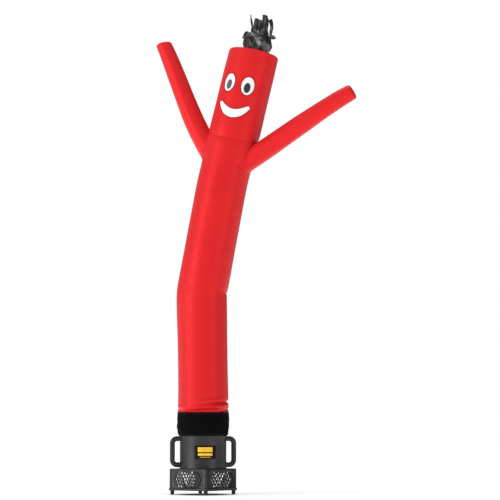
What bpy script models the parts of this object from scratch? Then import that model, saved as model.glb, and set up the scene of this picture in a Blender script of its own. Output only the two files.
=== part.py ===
"""An inflatable air dancer standing on its blower: a red cloth tube man with two arms and a black
tuft of hair, strapped by a black cuff over the neck of a square-based plastic blower.

Metres, +Z up, the floor at z = 0. Left and right are the viewer's, who looks along +Y. The blower
has its handles along X and one corner of its base to the front. The dancer is modelled about the
blower's axis, leaning to the right, and is turned a few degrees on the neck.
"""

import math

import bmesh
import bpy
from mathutils import Matrix, Vector

TURN = 2 * math.pi
TOUCH = 0.0003  # gap between two pieces that touch

# ---- Where things stand ----
BLOWER_AT = Vector((-0.243, 0.0765, 0.0))  # the blower's axis on the floor
DANCER_TURN = math.radians(-5.1)  # of the dancer on the blower's neck

# ---- Blower ----
BODY_RADIUS = 0.1126
BODY_WALL = 0.004
DECK_HEIGHT = 0.124  # top of the base
BODY_TOP = 0.280  # where the neck begins
NECK_TOP = 0.329
LOW_FLANGE_RADIUS = 0.1146
LOW_FLANGE_HEIGHT = 0.011
BAND_RADIUS = 0.1129  # smooth band between the two flanges
TOP_FLANGE_RADIUS = 0.1163
TOP_FLANGE_HEIGHT = 0.009
SOFT_EDGE = 0.0012  # moulded edges of the housing

BASE_HALF = 0.1167  # half a side of the square base
BASE_CORNER = 0.009
BASE_WALL = 0.004
BASE_BOTTOM = 0.0205
LIP_HEIGHT = 0.011
LIP_OUT = 0.0033
LIP_EDGE = 0.001
DECK_EDGE = 0.0035  # rounding between walls and deck
DECK_HOLE_RADIUS = 0.102
CORNER_STEPS = 5  # faces round one corner of the base
SIDE_STEPS = 3  # faces along one side of it

FOOT_AT = 0.148  # from the axis, under each corner
FOOT_RADIUS = 0.0095
FOOT_TAPER = 0.0012
BOSS_RADIUS = 0.0115  # what each foot is screwed to, inside the corner
BOSS_HEIGHT = 0.011

VENT_LENGTH = 0.171
VENT_HEIGHT = 0.080
VENT_AT = 0.0725  # height of its middle
GRILLE_THICKNESS = 0.003
GRILLE_RIM = 0.004
LOZENGE_WIDTH = 0.0185
LOZENGE_HEIGHT = 0.0345
STRAND = 0.0034

HANDLE_REACH = 0.1606  # outer face from the axis
HANDLE_TOP = 0.2795
HANDLE_BOTTOM = 0.130
HANDLE_THICK = 0.024
HANDLE_DEEP = 0.027
HANDLE_BEND = 0.0225  # of the bar's middle line
HANDLE_ROOT = 0.090  # its ends, before they are cut to the housing
CUFF_ROOM = 0.0045  # kept free round the low flange for the cuff's cloth

PLATE_SPAN = 0.104  # along the curve of the housing
PLATE_HEIGHT = 0.063
PLATE_AT = 0.2035
PLATE_THICKNESS = 0.001
PLATE_TURN = math.radians(0.2)  # from the front

# ---- Dancer ----
TUBE_RADIUS = 0.1222
HEAD_RADIUS = 0.1252
RIM_RADIUS = 0.1228  # of the head's top
CLOTH = 0.002
PATCH = 0.001  # thickness of the face's patches
PATCH_LIFT = 0.0006  # their corners stand this far off what they lie on
COLUMNS = 32  # faces round the tube

CUFF_FOOT = BODY_TOP  # the tube's middle line is measured from here
CUFF_HEIGHT = 0.114
CUFF_RADIUS = 0.1254  # where it is widest
TORSO_FOOT = 0.094  # the red cloth's lower edge, inside the cuff
KINK = 0.705  # where the upright part ends
SEAM = 1.4735  # neck seam
HEAD_TOP = 1.906
CROWN = 0.011  # rise of the head's top panel
TOP_SLANT = 0.004  # its right edge is this much higher than square to the tube, its left lower

# The tube's lean to the right beyond each bend, in degrees.
BENDS = [
    {"at": 0.20, "length": 0.04, "lean": -0.93},
    {"at": 0.692, "length": 0.09, "lean": 10.12},
    {"at": 1.223, "length": 0.14, "lean": 13.56},
]
WALK = 0.004  # step along the middle line

# The tube's radius at lengths up its middle line.
GIRTHS = [
    {"up": 0.140, "radius": 0.1222},
    {"up": 0.200, "radius": 0.1215},
    {"up": 0.470, "radius": 0.1215},
    {"up": 0.560, "radius": 0.1222},
    {"up": 1.280, "radius": 0.1222},
    {"up": 1.500, "radius": 0.1245},
    {"up": 1.600, "radius": 0.1250},
    {"up": 1.800, "radius": 0.1252},
    {"up": 1.906, "radius": 0.1228},
]

SEAM_DIP = 0.020  # the neck seam is this much lower at the front
SEAM_RISE = 0.007  # and this much higher at the right
SEAM_PINCH = 0.004
SHOULDER_TURN = math.radians(-20)  # the plane of the two arms
SHOULDER_SWELL = 0.0025
KINK_PINCH = 0.0015

# Pinched folds of the red cloth above the cuff: degrees round the tube from the front, and metres
# up from the cuff's foot, at both ends of the fold.
FOLDS = [
    {"turn": (-6, 120), "up": (0.141, 0.166), "depth": 0.008, "width": 0.008},
    {"turn": (-34, 36), "up": (0.116, 0.129), "depth": 0.005, "width": 0.008},
    {"turn": (130, 190), "up": (0.155, 0.125), "depth": 0.006, "width": 0.010},
    {"turn": (-150, -95), "up": (0.123, 0.147), "depth": 0.005, "width": 0.010},
]

ARM_TIP_RADIUS = 0.0376
ARM_ROOT_RADIUS = 0.0570
ARM_COLUMNS = 18

# Each arm: where its middle line leaves the tube's, its lean from upright at root, middle and tip
# in degrees, how late it takes the tip's lean, its length from there, how much longer its outer or
# lower side is at the tip, and how far it bulges beyond an even taper.
ARMS = [
    {
        "name": "arm_left",
        "side": -1,
        "from": 1.314,
        "lean": (46.2, 18.4, 24.8),
        "late": 3,
        "length": 0.738,
        "slant": 0.006,
        "bulge": 0.0014,
    },
    {
        "name": "arm_right",
        "side": 1,
        "from": 1.286,
        "lean": (63.3, 57.75, 65.5),
        "late": 6,
        "length": 0.756,
        "slant": 0.0020,
        "bulge": 0.0020,
    },
]

# Patches of the face: degrees round the head from the front, metres above the neck seam.
EYES = [
    {"name": "eye_left", "turn": -39.3, "up": 0.2495, "half": (0.0300, 0.0455)},
    {"name": "eye_right", "turn": 5.1, "up": 0.2455, "half": (0.0325, 0.0455)},
]
PUPILS = [
    {"name": "pupil_left", "turn": -38.4, "up": 0.2395, "half": (0.0135, 0.0240)},
    {"name": "pupil_right", "turn": 4.6, "up": 0.2355, "half": (0.0155, 0.0250)},
]
MOUTH_TURN = -15.4
MOUTH_UP = 0.1510  # height of its corners
MOUTH_HALF = 0.078
MOUTH_SAG = 0.0515  # of its middle line
MOUTH_HEIGHT = 0.043
MOUTH_END = 0.017  # its height where the round ends begin
MOUTH_CAP = 0.92  # that place, as a share of half its length
MOUTH_TILT = math.radians(-1.7)

HAIR_RADIUS = 0.0585
HAIR_SHIFT = 0.007  # of its middle to the right of the head's
HAIR_ROLL = 0.016  # nearer the middle where the second turn begins
HAIR_BAND = 0.0905  # height of the part that isn't cut
HAIR_BULGE = 0.0165  # of the band, half way up
HAIR_WAIST = 0.009  # narrower at its top than at its foot
HAIR_RUFFLE = 0.003
HAIR_RUFFLES = 5
HAIR_CLOTH = 0.001
HAIR_SLIT = 0.12  # share of each strip's space
HAIR_START = math.radians(180)
STRIP_TURN = math.radians(30)
BAND_ROWS = 3
STRIP_ROWS = 4

# The strips in their order along the rolled band: length, lean outwards at root and at tip, and
# sway to the viewer's right as it goes round, in degrees, width at the tip as a share, and the
# twist of some about their own length, in degrees.
STRIPS = [
    {"length": 0.066, "lean": (-10, -2), "sway": 4, "tip": 0.9},
    {"length": 0.122, "lean": (16, 28), "sway": 0, "tip": 0.35},
    {"length": 0.047, "lean": (104, 152), "sway": -6, "tip": 0.6, "twist": 80},
    {"length": 0.044, "lean": (108, 158), "sway": 6, "tip": 0.7, "twist": 45},
    {"length": 0.072, "lean": (-4, -6), "sway": 2, "tip": 0.8},
    {"length": 0.068, "lean": (-10, -4), "sway": -5, "tip": 0.95},
    {"length": 0.094, "lean": (-8, -2), "sway": -6, "tip": 1.0},
    {"length": 0.088, "lean": (-14, -8), "sway": -6, "tip": 0.8},
    {"length": 0.090, "lean": (19, -44), "sway": -2, "tip": 0.8, "twist": 60},
    {"length": 0.040, "lean": (30, 140), "sway": -5, "tip": 0.7, "twist": 45},
    {"length": 0.072, "lean": (-6, -14), "sway": 5, "tip": 0.8},
    {"length": 0.086, "lean": (-8, -10), "sway": -4, "tip": 0.9},
    {"length": 0.076, "lean": (-4, -8), "sway": 5, "tip": 0.8},
    {"length": 0.064, "lean": (0, 4), "sway": 4, "tip": 0.9},
    {"length": 0.050, "lean": (2, -6), "sway": 0, "tip": 0.6},
    {"length": 0.060, "lean": (-4, -10), "sway": 3, "tip": 0.8},
]
STRIP_CUP = 0.006  # how far each strip's middle stands out of its edges

COLOURS = {
    "red_cloth": ((0.80, 0.03, 0.035), 0.45, 0.0),
    "black_cloth": ((0.008, 0.008, 0.009), 0.75, 0.0),
    "white_cloth": ((0.90, 0.90, 0.90), 0.55, 0.0),
    "hair_cloth": ((0.012, 0.012, 0.012), 0.35, 0.0),
    "charcoal_plastic": ((0.045, 0.045, 0.047), 0.5, 0.0),
    "black_rubber": ((0.015, 0.015, 0.015), 0.8, 0.0),
    "plate_black": ((0.012, 0.011, 0.013), 0.3, 0.0),
}


# ---- Scene and materials ----
def clear_scene():
    for thing in list(bpy.data.objects):
        bpy.data.objects.remove(thing)


def new_collection(name):
    made = bpy.data.collections.new(name)
    bpy.context.scene.collection.children.link(made)
    return made


def new_material(finish, name):
    colour, roughness, metallic = COLOURS[finish]
    made = bpy.data.materials.new(name)
    made.use_nodes = True
    shader = made.node_tree.nodes["Principled BSDF"]
    shader.inputs["Base Color"].default_value = (*colour, 1.0)
    shader.inputs["Roughness"].default_value = roughness
    shader.inputs["Metallic"].default_value = metallic
    made.diffuse_color = (*colour, 1.0)
    return made


def new_empty(name, parent=None, location=(0, 0, 0), turn=0.0):
    made = bpy.data.objects.new(name, None)
    made.location = location
    made.rotation_euler = (0, 0, turn)
    made.parent = parent
    PARTS.objects.link(made)
    return made


def add_part(name, mesh, finish, parent):
    """A named part from a bmesh, with its own material."""
    data = bpy.data.meshes.new(name)
    mesh.to_mesh(data)
    mesh.free()
    data.materials.append(new_material(finish, name))
    part = bpy.data.objects.new(name, data)
    part.parent = parent
    PARTS.objects.link(part)
    return part


def add_cutter(name, mesh, parent):
    data = bpy.data.meshes.new(name)
    mesh.to_mesh(data)
    mesh.free()
    cutter = bpy.data.objects.new(name, data)
    cutter.parent = parent
    cutter.hide_render = True
    cutter.display_type = "WIRE"
    CUTTERS.objects.link(cutter)
    return cutter


def smooth(part, sharp=40):
    part.data.shade_smooth()
    part.data.set_sharp_from_angle(angle=math.radians(sharp))


def solidify(part, thickness, outwards=False):
    made = part.modifiers.new("thickness", "SOLIDIFY")
    made.thickness = thickness
    made.offset = 1.0 if outwards else -1.0
    made.use_even_offset = True


def boolean(part, other, operation="DIFFERENCE"):
    made = part.modifiers.new(other.name, "BOOLEAN")
    made.operation = operation
    made.object = other
    made.solver = "EXACT"


# ---- Sheets ----
def rolled(columns, levels, place, whole=True):
    """A flat grid, rolled up: place(turn, level) gives the point at a share of a turn on a level.
    Whole turns are sewn along their seam, and a level of no width closes to one point."""
    mesh = bmesh.new()
    rows = len(levels) - 1
    bmesh.ops.create_grid(mesh, x_segments=columns, y_segments=rows, size=0.5)
    for vert in mesh.verts:
        across = vert.co.x + 0.5
        row = round((vert.co.y + 0.5) * rows)
        if whole and across > 1 - 0.5 / columns:
            across = 0.0
        vert.co = place(across, levels[row])
    bmesh.ops.remove_doubles(mesh, verts=mesh.verts, dist=1e-6)
    return mesh


def steps(start, end, count):
    """count + 1 even values from start to end."""
    return [start + (end - start) * i / count for i in range(count + 1)]


# ---- The tube's middle line and surface ----
def lean_at(up):
    """The tube's lean at a length along its middle line, in radians."""
    lean = 0.0
    for bend in BENDS:
        share = (up - bend["at"]) / bend["length"] + 0.5
        share = min(max(share, 0.0), 1.0)
        share = share * share * (3 - 2 * share)
        lean += (bend["lean"] - lean) * share
    return math.radians(lean)


def walk_middle():
    """Points of the tube's middle line every WALK metres up from the cuff's foot."""
    point = Vector((0.0, 0.0, CUFF_FOOT))
    line = [point.copy()]
    for step in range(int(HEAD_TOP * 1.1 / WALK)):
        lean = lean_at((step + 0.5) * WALK)
        point += Vector((math.sin(lean), 0.0, math.cos(lean))) * WALK
        line.append(point.copy())
    return line


MIDDLE = walk_middle()


def middle_at(up):
    place = min(max(up / WALK, 0.0), len(MIDDLE) - 1.001)
    low = int(place)
    return MIDDLE[low].lerp(MIDDLE[low + 1], place - low)


def tube_axes(up):
    """(along, right) of the tube at a length along it. Its front is always -Y."""
    lean = lean_at(up)
    along = Vector((math.sin(lean), 0.0, math.cos(lean)))
    right = Vector((math.cos(lean), 0.0, -math.sin(lean)))
    return along, right


def bell(distance, width):
    return math.exp(-((distance / width) ** 2))


def turn_between(angle, middle):
    """The difference of two angles, from -pi to pi."""
    return (angle - middle + math.pi) % TURN - math.pi


def fold_depth(angle, up):
    """How far the folds above the cuff press the cloth in."""
    depth = 0.0
    for fold in FOLDS:
        first, last = (math.radians(value) for value in fold["turn"])
        share = turn_between(angle, (first + last) / 2) / (last - first) + 0.5
        if not -0.1 < share < 1.1:
            continue
        low, high = fold["up"]
        line = low + (high - low) * share
        ends = math.sin(math.pi * min(max(share, 0.0), 1.0)) ** 0.5
        depth += fold["depth"] * ends * bell(up - line, fold["width"])
    return depth


def seam_at(angle):
    """The neck seam's length along the tube at an angle from the front."""
    return SEAM - SEAM_DIP * math.cos(angle) + SEAM_RISE * math.sin(angle)


def girth_at(up):
    """The tube's radius at a length along it, between the rows of the table."""
    for low, high in zip(GIRTHS, GIRTHS[1:]):
        if up <= high["up"]:
            share = max((up - low["up"]) / (high["up"] - low["up"]), 0.0)
            return low["radius"] + (high["radius"] - low["radius"]) * share
    return GIRTHS[-1]["radius"]


def tube_radius(angle, up):
    radius = girth_at(up)
    across = math.sin(angle - SHOULDER_TURN) ** 2
    radius += SHOULDER_SWELL * across * bell(up - SEAM, 0.10)
    radius -= SEAM_PINCH * bell(up - seam_at(angle), 0.012)
    side = bell(turn_between(angle, math.radians(90)), math.radians(55))
    radius -= KINK_PINCH * side * bell(up - KINK, 0.018)
    return radius - fold_depth(angle, up)


def on_tube(angle, up, lift=0.0):
    """The point of the tube's outer face at an angle from the front, lifted off it."""
    _, right = tube_axes(up)
    out = right * math.sin(angle) + Vector((0, -1, 0)) * math.cos(angle)
    return middle_at(up) + out * (tube_radius(angle, up) + lift)


# ---- Dancer ----
def torso_up(angle, level):
    """Levels are lengths along the tube, but those under the seam are negative, down from it."""
    return level if level > 0 else seam_at(angle) - TOUCH / 2 + level


def head_up(angle, level):
    """Levels are lengths above the seam, which the lower ones follow."""
    follow = max(0.0, 1 - level / 0.10)
    slant = TOP_SLANT * math.sin(angle) * level / (HEAD_TOP - SEAM)
    return SEAM + level + slant + (seam_at(angle) + TOUCH / 2 - SEAM) * follow


TORSO_LEVELS = [TORSO_FOOT]
TORSO_LEVELS += steps(0.108, 0.180, 8)
TORSO_LEVELS += [0.24, 0.36, 0.50, 0.62, 0.67, 0.70, 0.722, 0.75, 0.80, 0.92, 1.06, 1.18]
TORSO_LEVELS += steps(1.25, 1.425, 5)
TORSO_LEVELS += [-0.012, 0.0]
HEAD_LEVELS = [0.0, 0.012, 0.035, 0.07, 0.12, 0.19, 0.27, 0.35, HEAD_TOP - TOUCH - SEAM]


def trunk_solid(lift):
    """The torso's and the head's outer faces as one closed solid, to trim the arms by."""
    levels = [(torso_up, level, 1.0) for level in TORSO_LEVELS]
    levels += [(head_up, level, 1.0) for level in HEAD_LEVELS]
    levels = [(torso_up, TORSO_FOOT, 0.0)] + levels + [(head_up, HEAD_LEVELS[-1], 0.0)]

    def place(share, level):
        length_up, height, spread = level
        angle = share * TURN
        up = length_up(angle, height)
        return middle_at(up).lerp(on_tube(angle, up, lift), spread)

    return rolled(COLUMNS, levels, place)


def arm_radius(arm, along):
    share = min(along / arm["length"], 1.0)
    bulge = arm["bulge"] * math.sin(math.pi * share**2)
    return ARM_ROOT_RADIUS + (ARM_TIP_RADIUS - ARM_ROOT_RADIUS) * share + bulge


def arm_line(arm):
    """(point, along, across) every WALK metres of the arm's middle line."""
    outwards = Vector((math.cos(SHOULDER_TURN), math.sin(SHOULDER_TURN), 0)) * arm["side"]
    point = middle_at(arm["from"])
    root, middle, tip = (math.radians(value) for value in arm["lean"])
    line = []
    for step in range(int(arm["length"] / WALK) + 4):
        share = step * WALK / arm["length"]
        early, late = (1 - share) ** 3, share ** arm["late"]
        lean = root * early + middle * (1 - early - late) + tip * late
        along = outwards * math.sin(lean) + Vector((0, 0, 1)) * math.cos(lean)
        across = outwards * math.cos(lean) - Vector((0, 0, 1)) * math.sin(lean)
        line.append((point.copy(), along, across))
        point += along * WALK
    return line


def arm_mesh(arm, lift, levels):
    line = arm_line(arm)

    def place(share, level):
        length, spread = level
        angle = share * TURN
        slanted = max(length / arm["length"] - 0.6, 0.0) / 0.4
        length += arm["slant"] * math.cos(angle) * slanted * spread
        point, along, across = line[min(int(length / WALK), len(line) - 1)]
        point = point + along * (length % WALK)
        back = along.cross(across)
        radius = (arm_radius(arm, length) + lift) * spread
        return point + (across * math.cos(angle) + back * math.sin(angle)) * radius

    return rolled(ARM_COLUMNS, levels, place)


def make_arm(arm, trunk, torso):
    """A sleeve with a closed tip, its root cut to the trunk, and the hole for it in the torso."""
    tip = arm["length"]
    levels = [(along, 1.0) for along in (0.02, 0.08, 0.11, 0.14, 0.18, 0.24, 0.32, 0.42, 0.52)]
    levels += [(along, 1.0) for along in steps(0.60, tip - 0.014, 2)]
    levels += [(tip - 0.006, 0.95), (tip - 0.001, 0.80), (tip + 0.001, 0.42), (tip + 0.001, 0.0)]
    part = add_part(arm["name"], arm_mesh(arm, 0.0, levels), "red_cloth", DANCER)
    smooth(part, 60)
    solidify(part, CLOTH)
    boolean(part, trunk)
    bore_levels = [(0.004, 0.0), (0.004, 1.0)]
    bore_levels += [(along, 1.0) for along in (0.08, 0.11, 0.14, 0.18, 0.24, 0.30)]
    bore_levels += [(0.301, 0.0)]
    bore = add_cutter(arm["name"] + "_bore", arm_mesh(arm, -CLOTH - TOUCH, bore_levels), DANCER)
    boolean(torso, bore)


def make_tube(name, levels, length_up):
    """A length of the red tube, its cloth between two lists of levels."""

    def place(share, level):
        angle = share * TURN
        return on_tube(angle, length_up(angle, level))

    part = add_part(name, rolled(COLUMNS, levels, place), "red_cloth", DANCER)
    smooth(part, 60)
    solidify(part, CLOTH)
    return part


def on_crown(angle, radius, lift=0.0):
    """A point of the head's top panel at an angle from the front and a distance from its middle."""
    along, right = tube_axes(HEAD_TOP)
    out = right * math.sin(angle) + Vector((0, -1, 0)) * math.cos(angle)
    share = radius / RIM_RADIUS
    rise = CROWN * (1 - share**2) + TOP_SLANT * share * math.sin(angle) + lift
    return middle_at(HEAD_TOP) + out * radius + along * rise


def make_head_top():
    def place(share, radius):
        return on_crown(share * TURN, radius * RIM_RADIUS, CLOTH)

    part = add_part("head_top", rolled(COLUMNS, [1.0, 0.75, 0.45, 0.0], place), "red_cloth", DANCER)
    smooth(part, 60)
    solidify(part, CLOTH)


def make_cuff():
    """The black band: it hugs the low flange at its foot and holds the red cloth at its top."""
    # its flat faces clear the flange's edge
    snug = LOW_FLANGE_RADIUS / math.cos(math.pi / COLUMNS) + TOUCH + CLOTH
    over_cloth = TUBE_RADIUS + TOUCH + CLOTH
    profile = [
        (0.001, snug),
        (0.006, snug + 0.0020),
        (0.020, CUFF_RADIUS - 0.0018),
        (0.042, CUFF_RADIUS),
        (0.068, CUFF_RADIUS - 0.0002),
        (TORSO_FOOT - 0.004, over_cloth + 0.0004),
        (CUFF_HEIGHT, over_cloth),
    ]

    def place(share, level):
        up, radius = level
        angle = share * TURN
        _, right = tube_axes(up)
        return middle_at(up) + (right * math.sin(angle) - Vector((0, math.cos(angle), 0))) * radius

    part = add_part("cuff", rolled(COLUMNS, profile, place), "black_cloth", DANCER)
    smooth(part, 60)
    solidify(part, CLOTH)


def patch_point(turn, up, across, above, lift):
    """A point of a face patch, given along the curve of the head and up it from its middle."""
    angle = math.radians(turn) + across / HEAD_RADIUS
    return on_tube(angle, SEAM + up + above, lift)


def make_oval(patch, finish, lift, columns, levels):
    wide, high = patch["half"]

    def place(share, level):
        angle = share * TURN
        across = wide * level * math.cos(angle)
        above = high * level * math.sin(angle)
        return patch_point(patch["turn"], patch["up"], across, above, lift)

    part = add_part(patch["name"], rolled(columns, levels, place), finish, DANCER)
    smooth(part, 60)
    solidify(part, PATCH, outwards=True)


def make_mouth():
    """A crescent with rounded ends, its middle line a parabola."""

    def place(share, level):
        along = -math.cos(share * math.pi)
        in_cap = max(abs(along) - MOUTH_CAP, 0.0) / (1 - MOUTH_CAP)
        half = (MOUTH_END + (MOUTH_HEIGHT - MOUTH_END) * (1 - along**2)) / 2
        half *= max(1 - in_cap**2, 0.0) ** 0.5
        point = Vector((MOUTH_HALF * along, -MOUTH_SAG * (1 - along**2)))
        upwards = Vector((-2 * MOUTH_SAG * along, MOUTH_HALF)).normalized()
        tilted = Matrix.Rotation(MOUTH_TILT, 2) @ (point + upwards * half * level)
        return patch_point(MOUTH_TURN, MOUTH_UP, tilted.x, tilted.y, PATCH_LIFT)

    mesh = rolled(18, [-1.0, 0.0, 1.0], place, whole=False)
    part = add_part("mouth", mesh, "white_cloth", DANCER)
    smooth(part, 60)
    solidify(part, PATCH, outwards=True)


def hair_angle(place):
    """The angle from the front at a place along the rolled band, counted in strips."""
    return HAIR_START + place * STRIP_TURN


def band_point(place, height):
    """A point of the rolled and ruffled band at a place along it."""
    along, right = tube_axes(HEAD_TOP)
    angle = hair_angle(place)
    share = height / HAIR_BAND
    turned_in = min(max(place * STRIP_TURN / TURN * 3 - 2, 0.0), 1.0)
    radius = HAIR_RADIUS - HAIR_ROLL * turned_in
    sideways = radius * math.sin(angle) + HAIR_SHIFT
    forwards = radius * math.cos(angle)
    from_middle = math.hypot(sideways, forwards)
    foot = on_crown(math.atan2(sideways, forwards), from_middle, CLOTH + 2 * TOUCH)
    out = right * math.sin(angle) - Vector((0, math.cos(angle), 0))
    spread = HAIR_BULGE * math.sin(math.pi * share) - HAIR_WAIST * share
    spread += HAIR_RUFFLE * share * math.sin(HAIR_RUFFLES * angle)
    return foot + out * spread + along * height


def strip_point(number, side, share):
    """A point of a strip: side runs from -1 to 1 across it and share from 0 to 1 up it."""
    strip = STRIPS[number]
    along, right = tube_axes(HEAD_TOP)
    angle = hair_angle(number + 0.5)
    out = right * math.sin(angle) - Vector((0, math.cos(angle), 0))
    sideways = along.cross(out)
    width = (band_point(number + 1, 0) - band_point(number, 0)).length * (1 - HAIR_SLIT)
    width *= 1 - (1 - strip["tip"]) * share
    first, last = (math.radians(value) for value in strip["lean"])
    sway = math.radians(strip["sway"])
    point = band_point(number + 0.5, HAIR_BAND)
    pieces = 12
    length = strip["length"] * share / pieces
    for piece in range(pieces):
        lean = first + (last - first) * share * (piece + 0.5) / pieces
        point += (along * math.cos(lean) + out * math.sin(lean)) * math.cos(sway) * length
        point += sideways * math.sin(sway) * length
    lean = first + (last - first) * share
    face = out * math.cos(lean) - along * math.sin(lean)
    twist = math.radians(strip.get("twist", 0.0)) * min(1.0, 2.5 * share)
    edgewise = sideways * math.cos(twist) + face * math.sin(twist)
    cup = STRIP_CUP * (1 - abs(side)) * min(1.0, 3 * share)
    return point + edgewise * side * width / 2 + face * cup


def make_hair():
    """One band, rolled up on the head's top, with its upper part cut into strips."""
    rows = BAND_ROWS + STRIP_ROWS
    columns = 3 * len(STRIPS) - 1
    mesh = bmesh.new()
    bmesh.ops.create_grid(mesh, x_segments=columns, y_segments=rows, size=0.5)
    slits = []
    for face in mesh.faces:
        middle = face.calc_center_median()
        column = int((middle.x + 0.5) * columns)
        if column % 3 == 2 and (middle.y + 0.5) * rows > BAND_ROWS:
            slits.append(face)
    bmesh.ops.delete(mesh, geom=slits, context="FACES")
    for vert in mesh.verts:
        column = round((vert.co.x + 0.5) * columns)
        row = round((vert.co.y + 0.5) * rows)
        number, part_way = divmod(column, 3)
        side = part_way - 1
        if row <= BAND_ROWS:
            place = number + 0.5 + side * (1 - HAIR_SLIT) / 2
            vert.co = band_point(place, HAIR_BAND * row / BAND_ROWS)
        else:
            vert.co = strip_point(number, side, (row - BAND_ROWS) / STRIP_ROWS)
    part = add_part("hair", mesh, "hair_cloth", DANCER)
    smooth(part, 50)
    solidify(part, HAIR_CLOTH)


# ---- Blower ----
def turned_part(name, profile, finish, parent, faces):
    """A closed profile of (radius, height) in the XZ plane, turned about Z."""
    mesh = bmesh.new()
    verts = [mesh.verts.new((radius, 0, height)) for radius, height in profile]
    for first, second in zip(verts, verts[1:] + verts[:1]):
        mesh.edges.new((first, second))
    part = add_part(name, mesh, finish, parent)
    screw = part.modifiers.new("turn", "SCREW")
    screw.steps = faces
    screw.render_steps = faces
    screw.use_merge_vertices = True
    screw.merge_threshold = 1e-5
    screw.use_smooth_shade = True
    return part


def make_body():
    """The housing's wall, with its neck: two flanges and a smooth band between them."""
    inner = BODY_RADIUS - BODY_WALL
    band_top = NECK_TOP - TOP_FLANGE_HEIGHT
    band_bottom = BODY_TOP + LOW_FLANGE_HEIGHT
    foot = DECK_HEIGHT + TOUCH
    profile = [
        (inner, NECK_TOP),
        (TOP_FLANGE_RADIUS - SOFT_EDGE, NECK_TOP),
        (TOP_FLANGE_RADIUS, NECK_TOP - SOFT_EDGE),
        (TOP_FLANGE_RADIUS, band_top + SOFT_EDGE),
        (BAND_RADIUS, band_top - SOFT_EDGE),
        (BAND_RADIUS, band_bottom + SOFT_EDGE),
        (LOW_FLANGE_RADIUS, band_bottom - SOFT_EDGE),
        (LOW_FLANGE_RADIUS, BODY_TOP + SOFT_EDGE),
        (BODY_RADIUS, BODY_TOP - SOFT_EDGE),
        (BODY_RADIUS, foot + 0.004),
        (BODY_RADIUS + SOFT_EDGE, foot),
        (inner, foot),
    ]
    part = turned_part("blower_body", profile, "charcoal_plastic", BLOWER, 40)
    smooth(part)


def square_point(share, half, corner):
    """A point of a rounded square outline whose corners point along X and Y."""
    per_side = CORNER_STEPS + SIDE_STEPS
    number = round(share * 4 * per_side)
    side, place = divmod(number, per_side)
    middle = (half - corner) * math.sqrt(2)
    facing = side * math.pi / 2
    if place <= CORNER_STEPS:
        angle = math.radians(-45 + 90 * place / CORNER_STEPS)
        point = Vector((middle + corner * math.cos(angle), corner * math.sin(angle), 0))
    else:
        angle = math.radians(45)
        first = Vector((middle + corner * math.cos(angle), corner * math.sin(angle), 0))
        last = Vector((corner * math.sin(angle), middle + corner * math.cos(angle), 0))
        point = first.lerp(last, (place - CORNER_STEPS) / SIDE_STEPS)
    return Matrix.Rotation(facing, 3, "Z") @ point


def make_base():
    """The square base: one moulded wall with a lip round its foot and a deck with a round hole."""
    lip_top = BASE_BOTTOM + LIP_HEIGHT
    wide = BASE_HALF + LIP_OUT
    inner = BASE_HALF - BASE_WALL
    under_deck = DECK_HEIGHT - BASE_WALL
    # up the outer face, in over the deck, and back down the inner face
    levels = [
        (BASE_BOTTOM, wide, 0.0),
        (lip_top - LIP_EDGE, wide, 0.0),
        (lip_top, wide - LIP_EDGE, 0.0),
        (lip_top + LIP_EDGE, BASE_HALF, 0.0),
        (DECK_HEIGHT - DECK_EDGE, BASE_HALF, 0.0),
        (DECK_HEIGHT - 0.29 * DECK_EDGE, BASE_HALF - 0.29 * DECK_EDGE, 0.0),
        (DECK_HEIGHT, BASE_HALF - DECK_EDGE, 0.0),
        (DECK_HEIGHT, BASE_HALF, 1.0),
        (under_deck, BASE_HALF, 1.0),
        (under_deck, inner, 0.0),
        (BASE_BOTTOM, inner, 0.0),
        (BASE_BOTTOM, wide, 0.0),
    ]

    def place(share, level):
        height, half, round_share = level
        point = square_point(share, half, BASE_CORNER + half - BASE_HALF)
        point = point.lerp(point.normalized() * DECK_HOLE_RADIUS, round_share)
        return point + Vector((0, 0, height))

    columns = 4 * (CORNER_STEPS + SIDE_STEPS)
    part = add_part("blower_base", rolled(columns, levels, place), "charcoal_plastic", BLOWER)
    smooth(part)
    boolean(part, corner_bosses(), "UNION")
    for number in range(2):
        boolean(part, vent_cutter(f"vent_{number}", math.radians(45 + 90 * number)))


def corner_bosses():
    mesh = bmesh.new()
    for number in range(4):
        angle = number * math.pi / 2
        middle = Vector((math.cos(angle), math.sin(angle), 0)) * FOOT_AT
        middle.z = BASE_BOTTOM + BOSS_HEIGHT / 2
        bmesh.ops.create_cone(
            mesh,
            cap_ends=True,
            segments=16,
            radius1=BOSS_RADIUS,
            radius2=BOSS_RADIUS,
            depth=BOSS_HEIGHT,
            matrix=Matrix.Translation(middle),
        )
    return add_cutter("corner_bosses", mesh, BLOWER)


def stadium_prism(length, height, depth):
    """A stadium in the XZ plane, extruded along Y: a cylinder whose halves are pulled apart."""
    mesh = bmesh.new()
    bmesh.ops.create_cone(
        mesh,
        cap_ends=True,
        segments=24,
        radius1=height / 2,
        radius2=height / 2,
        depth=depth,
        matrix=Matrix.Rotation(math.pi / 24, 4, "Z"),
    )
    for vert in mesh.verts:
        vert.co.x += math.copysign((length - height) / 2, vert.co.x)
    bmesh.ops.rotate(mesh, verts=mesh.verts, matrix=Matrix.Rotation(math.pi / 2, 3, "X"))
    return mesh


def vent_cutter(name, angle):
    cutter = add_cutter(name, stadium_prism(VENT_LENGTH, VENT_HEIGHT, 4 * BASE_HALF), BLOWER)
    cutter.location = (0, 0, VENT_AT)
    cutter.rotation_euler = (0, 0, angle)
    return cutter


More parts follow.
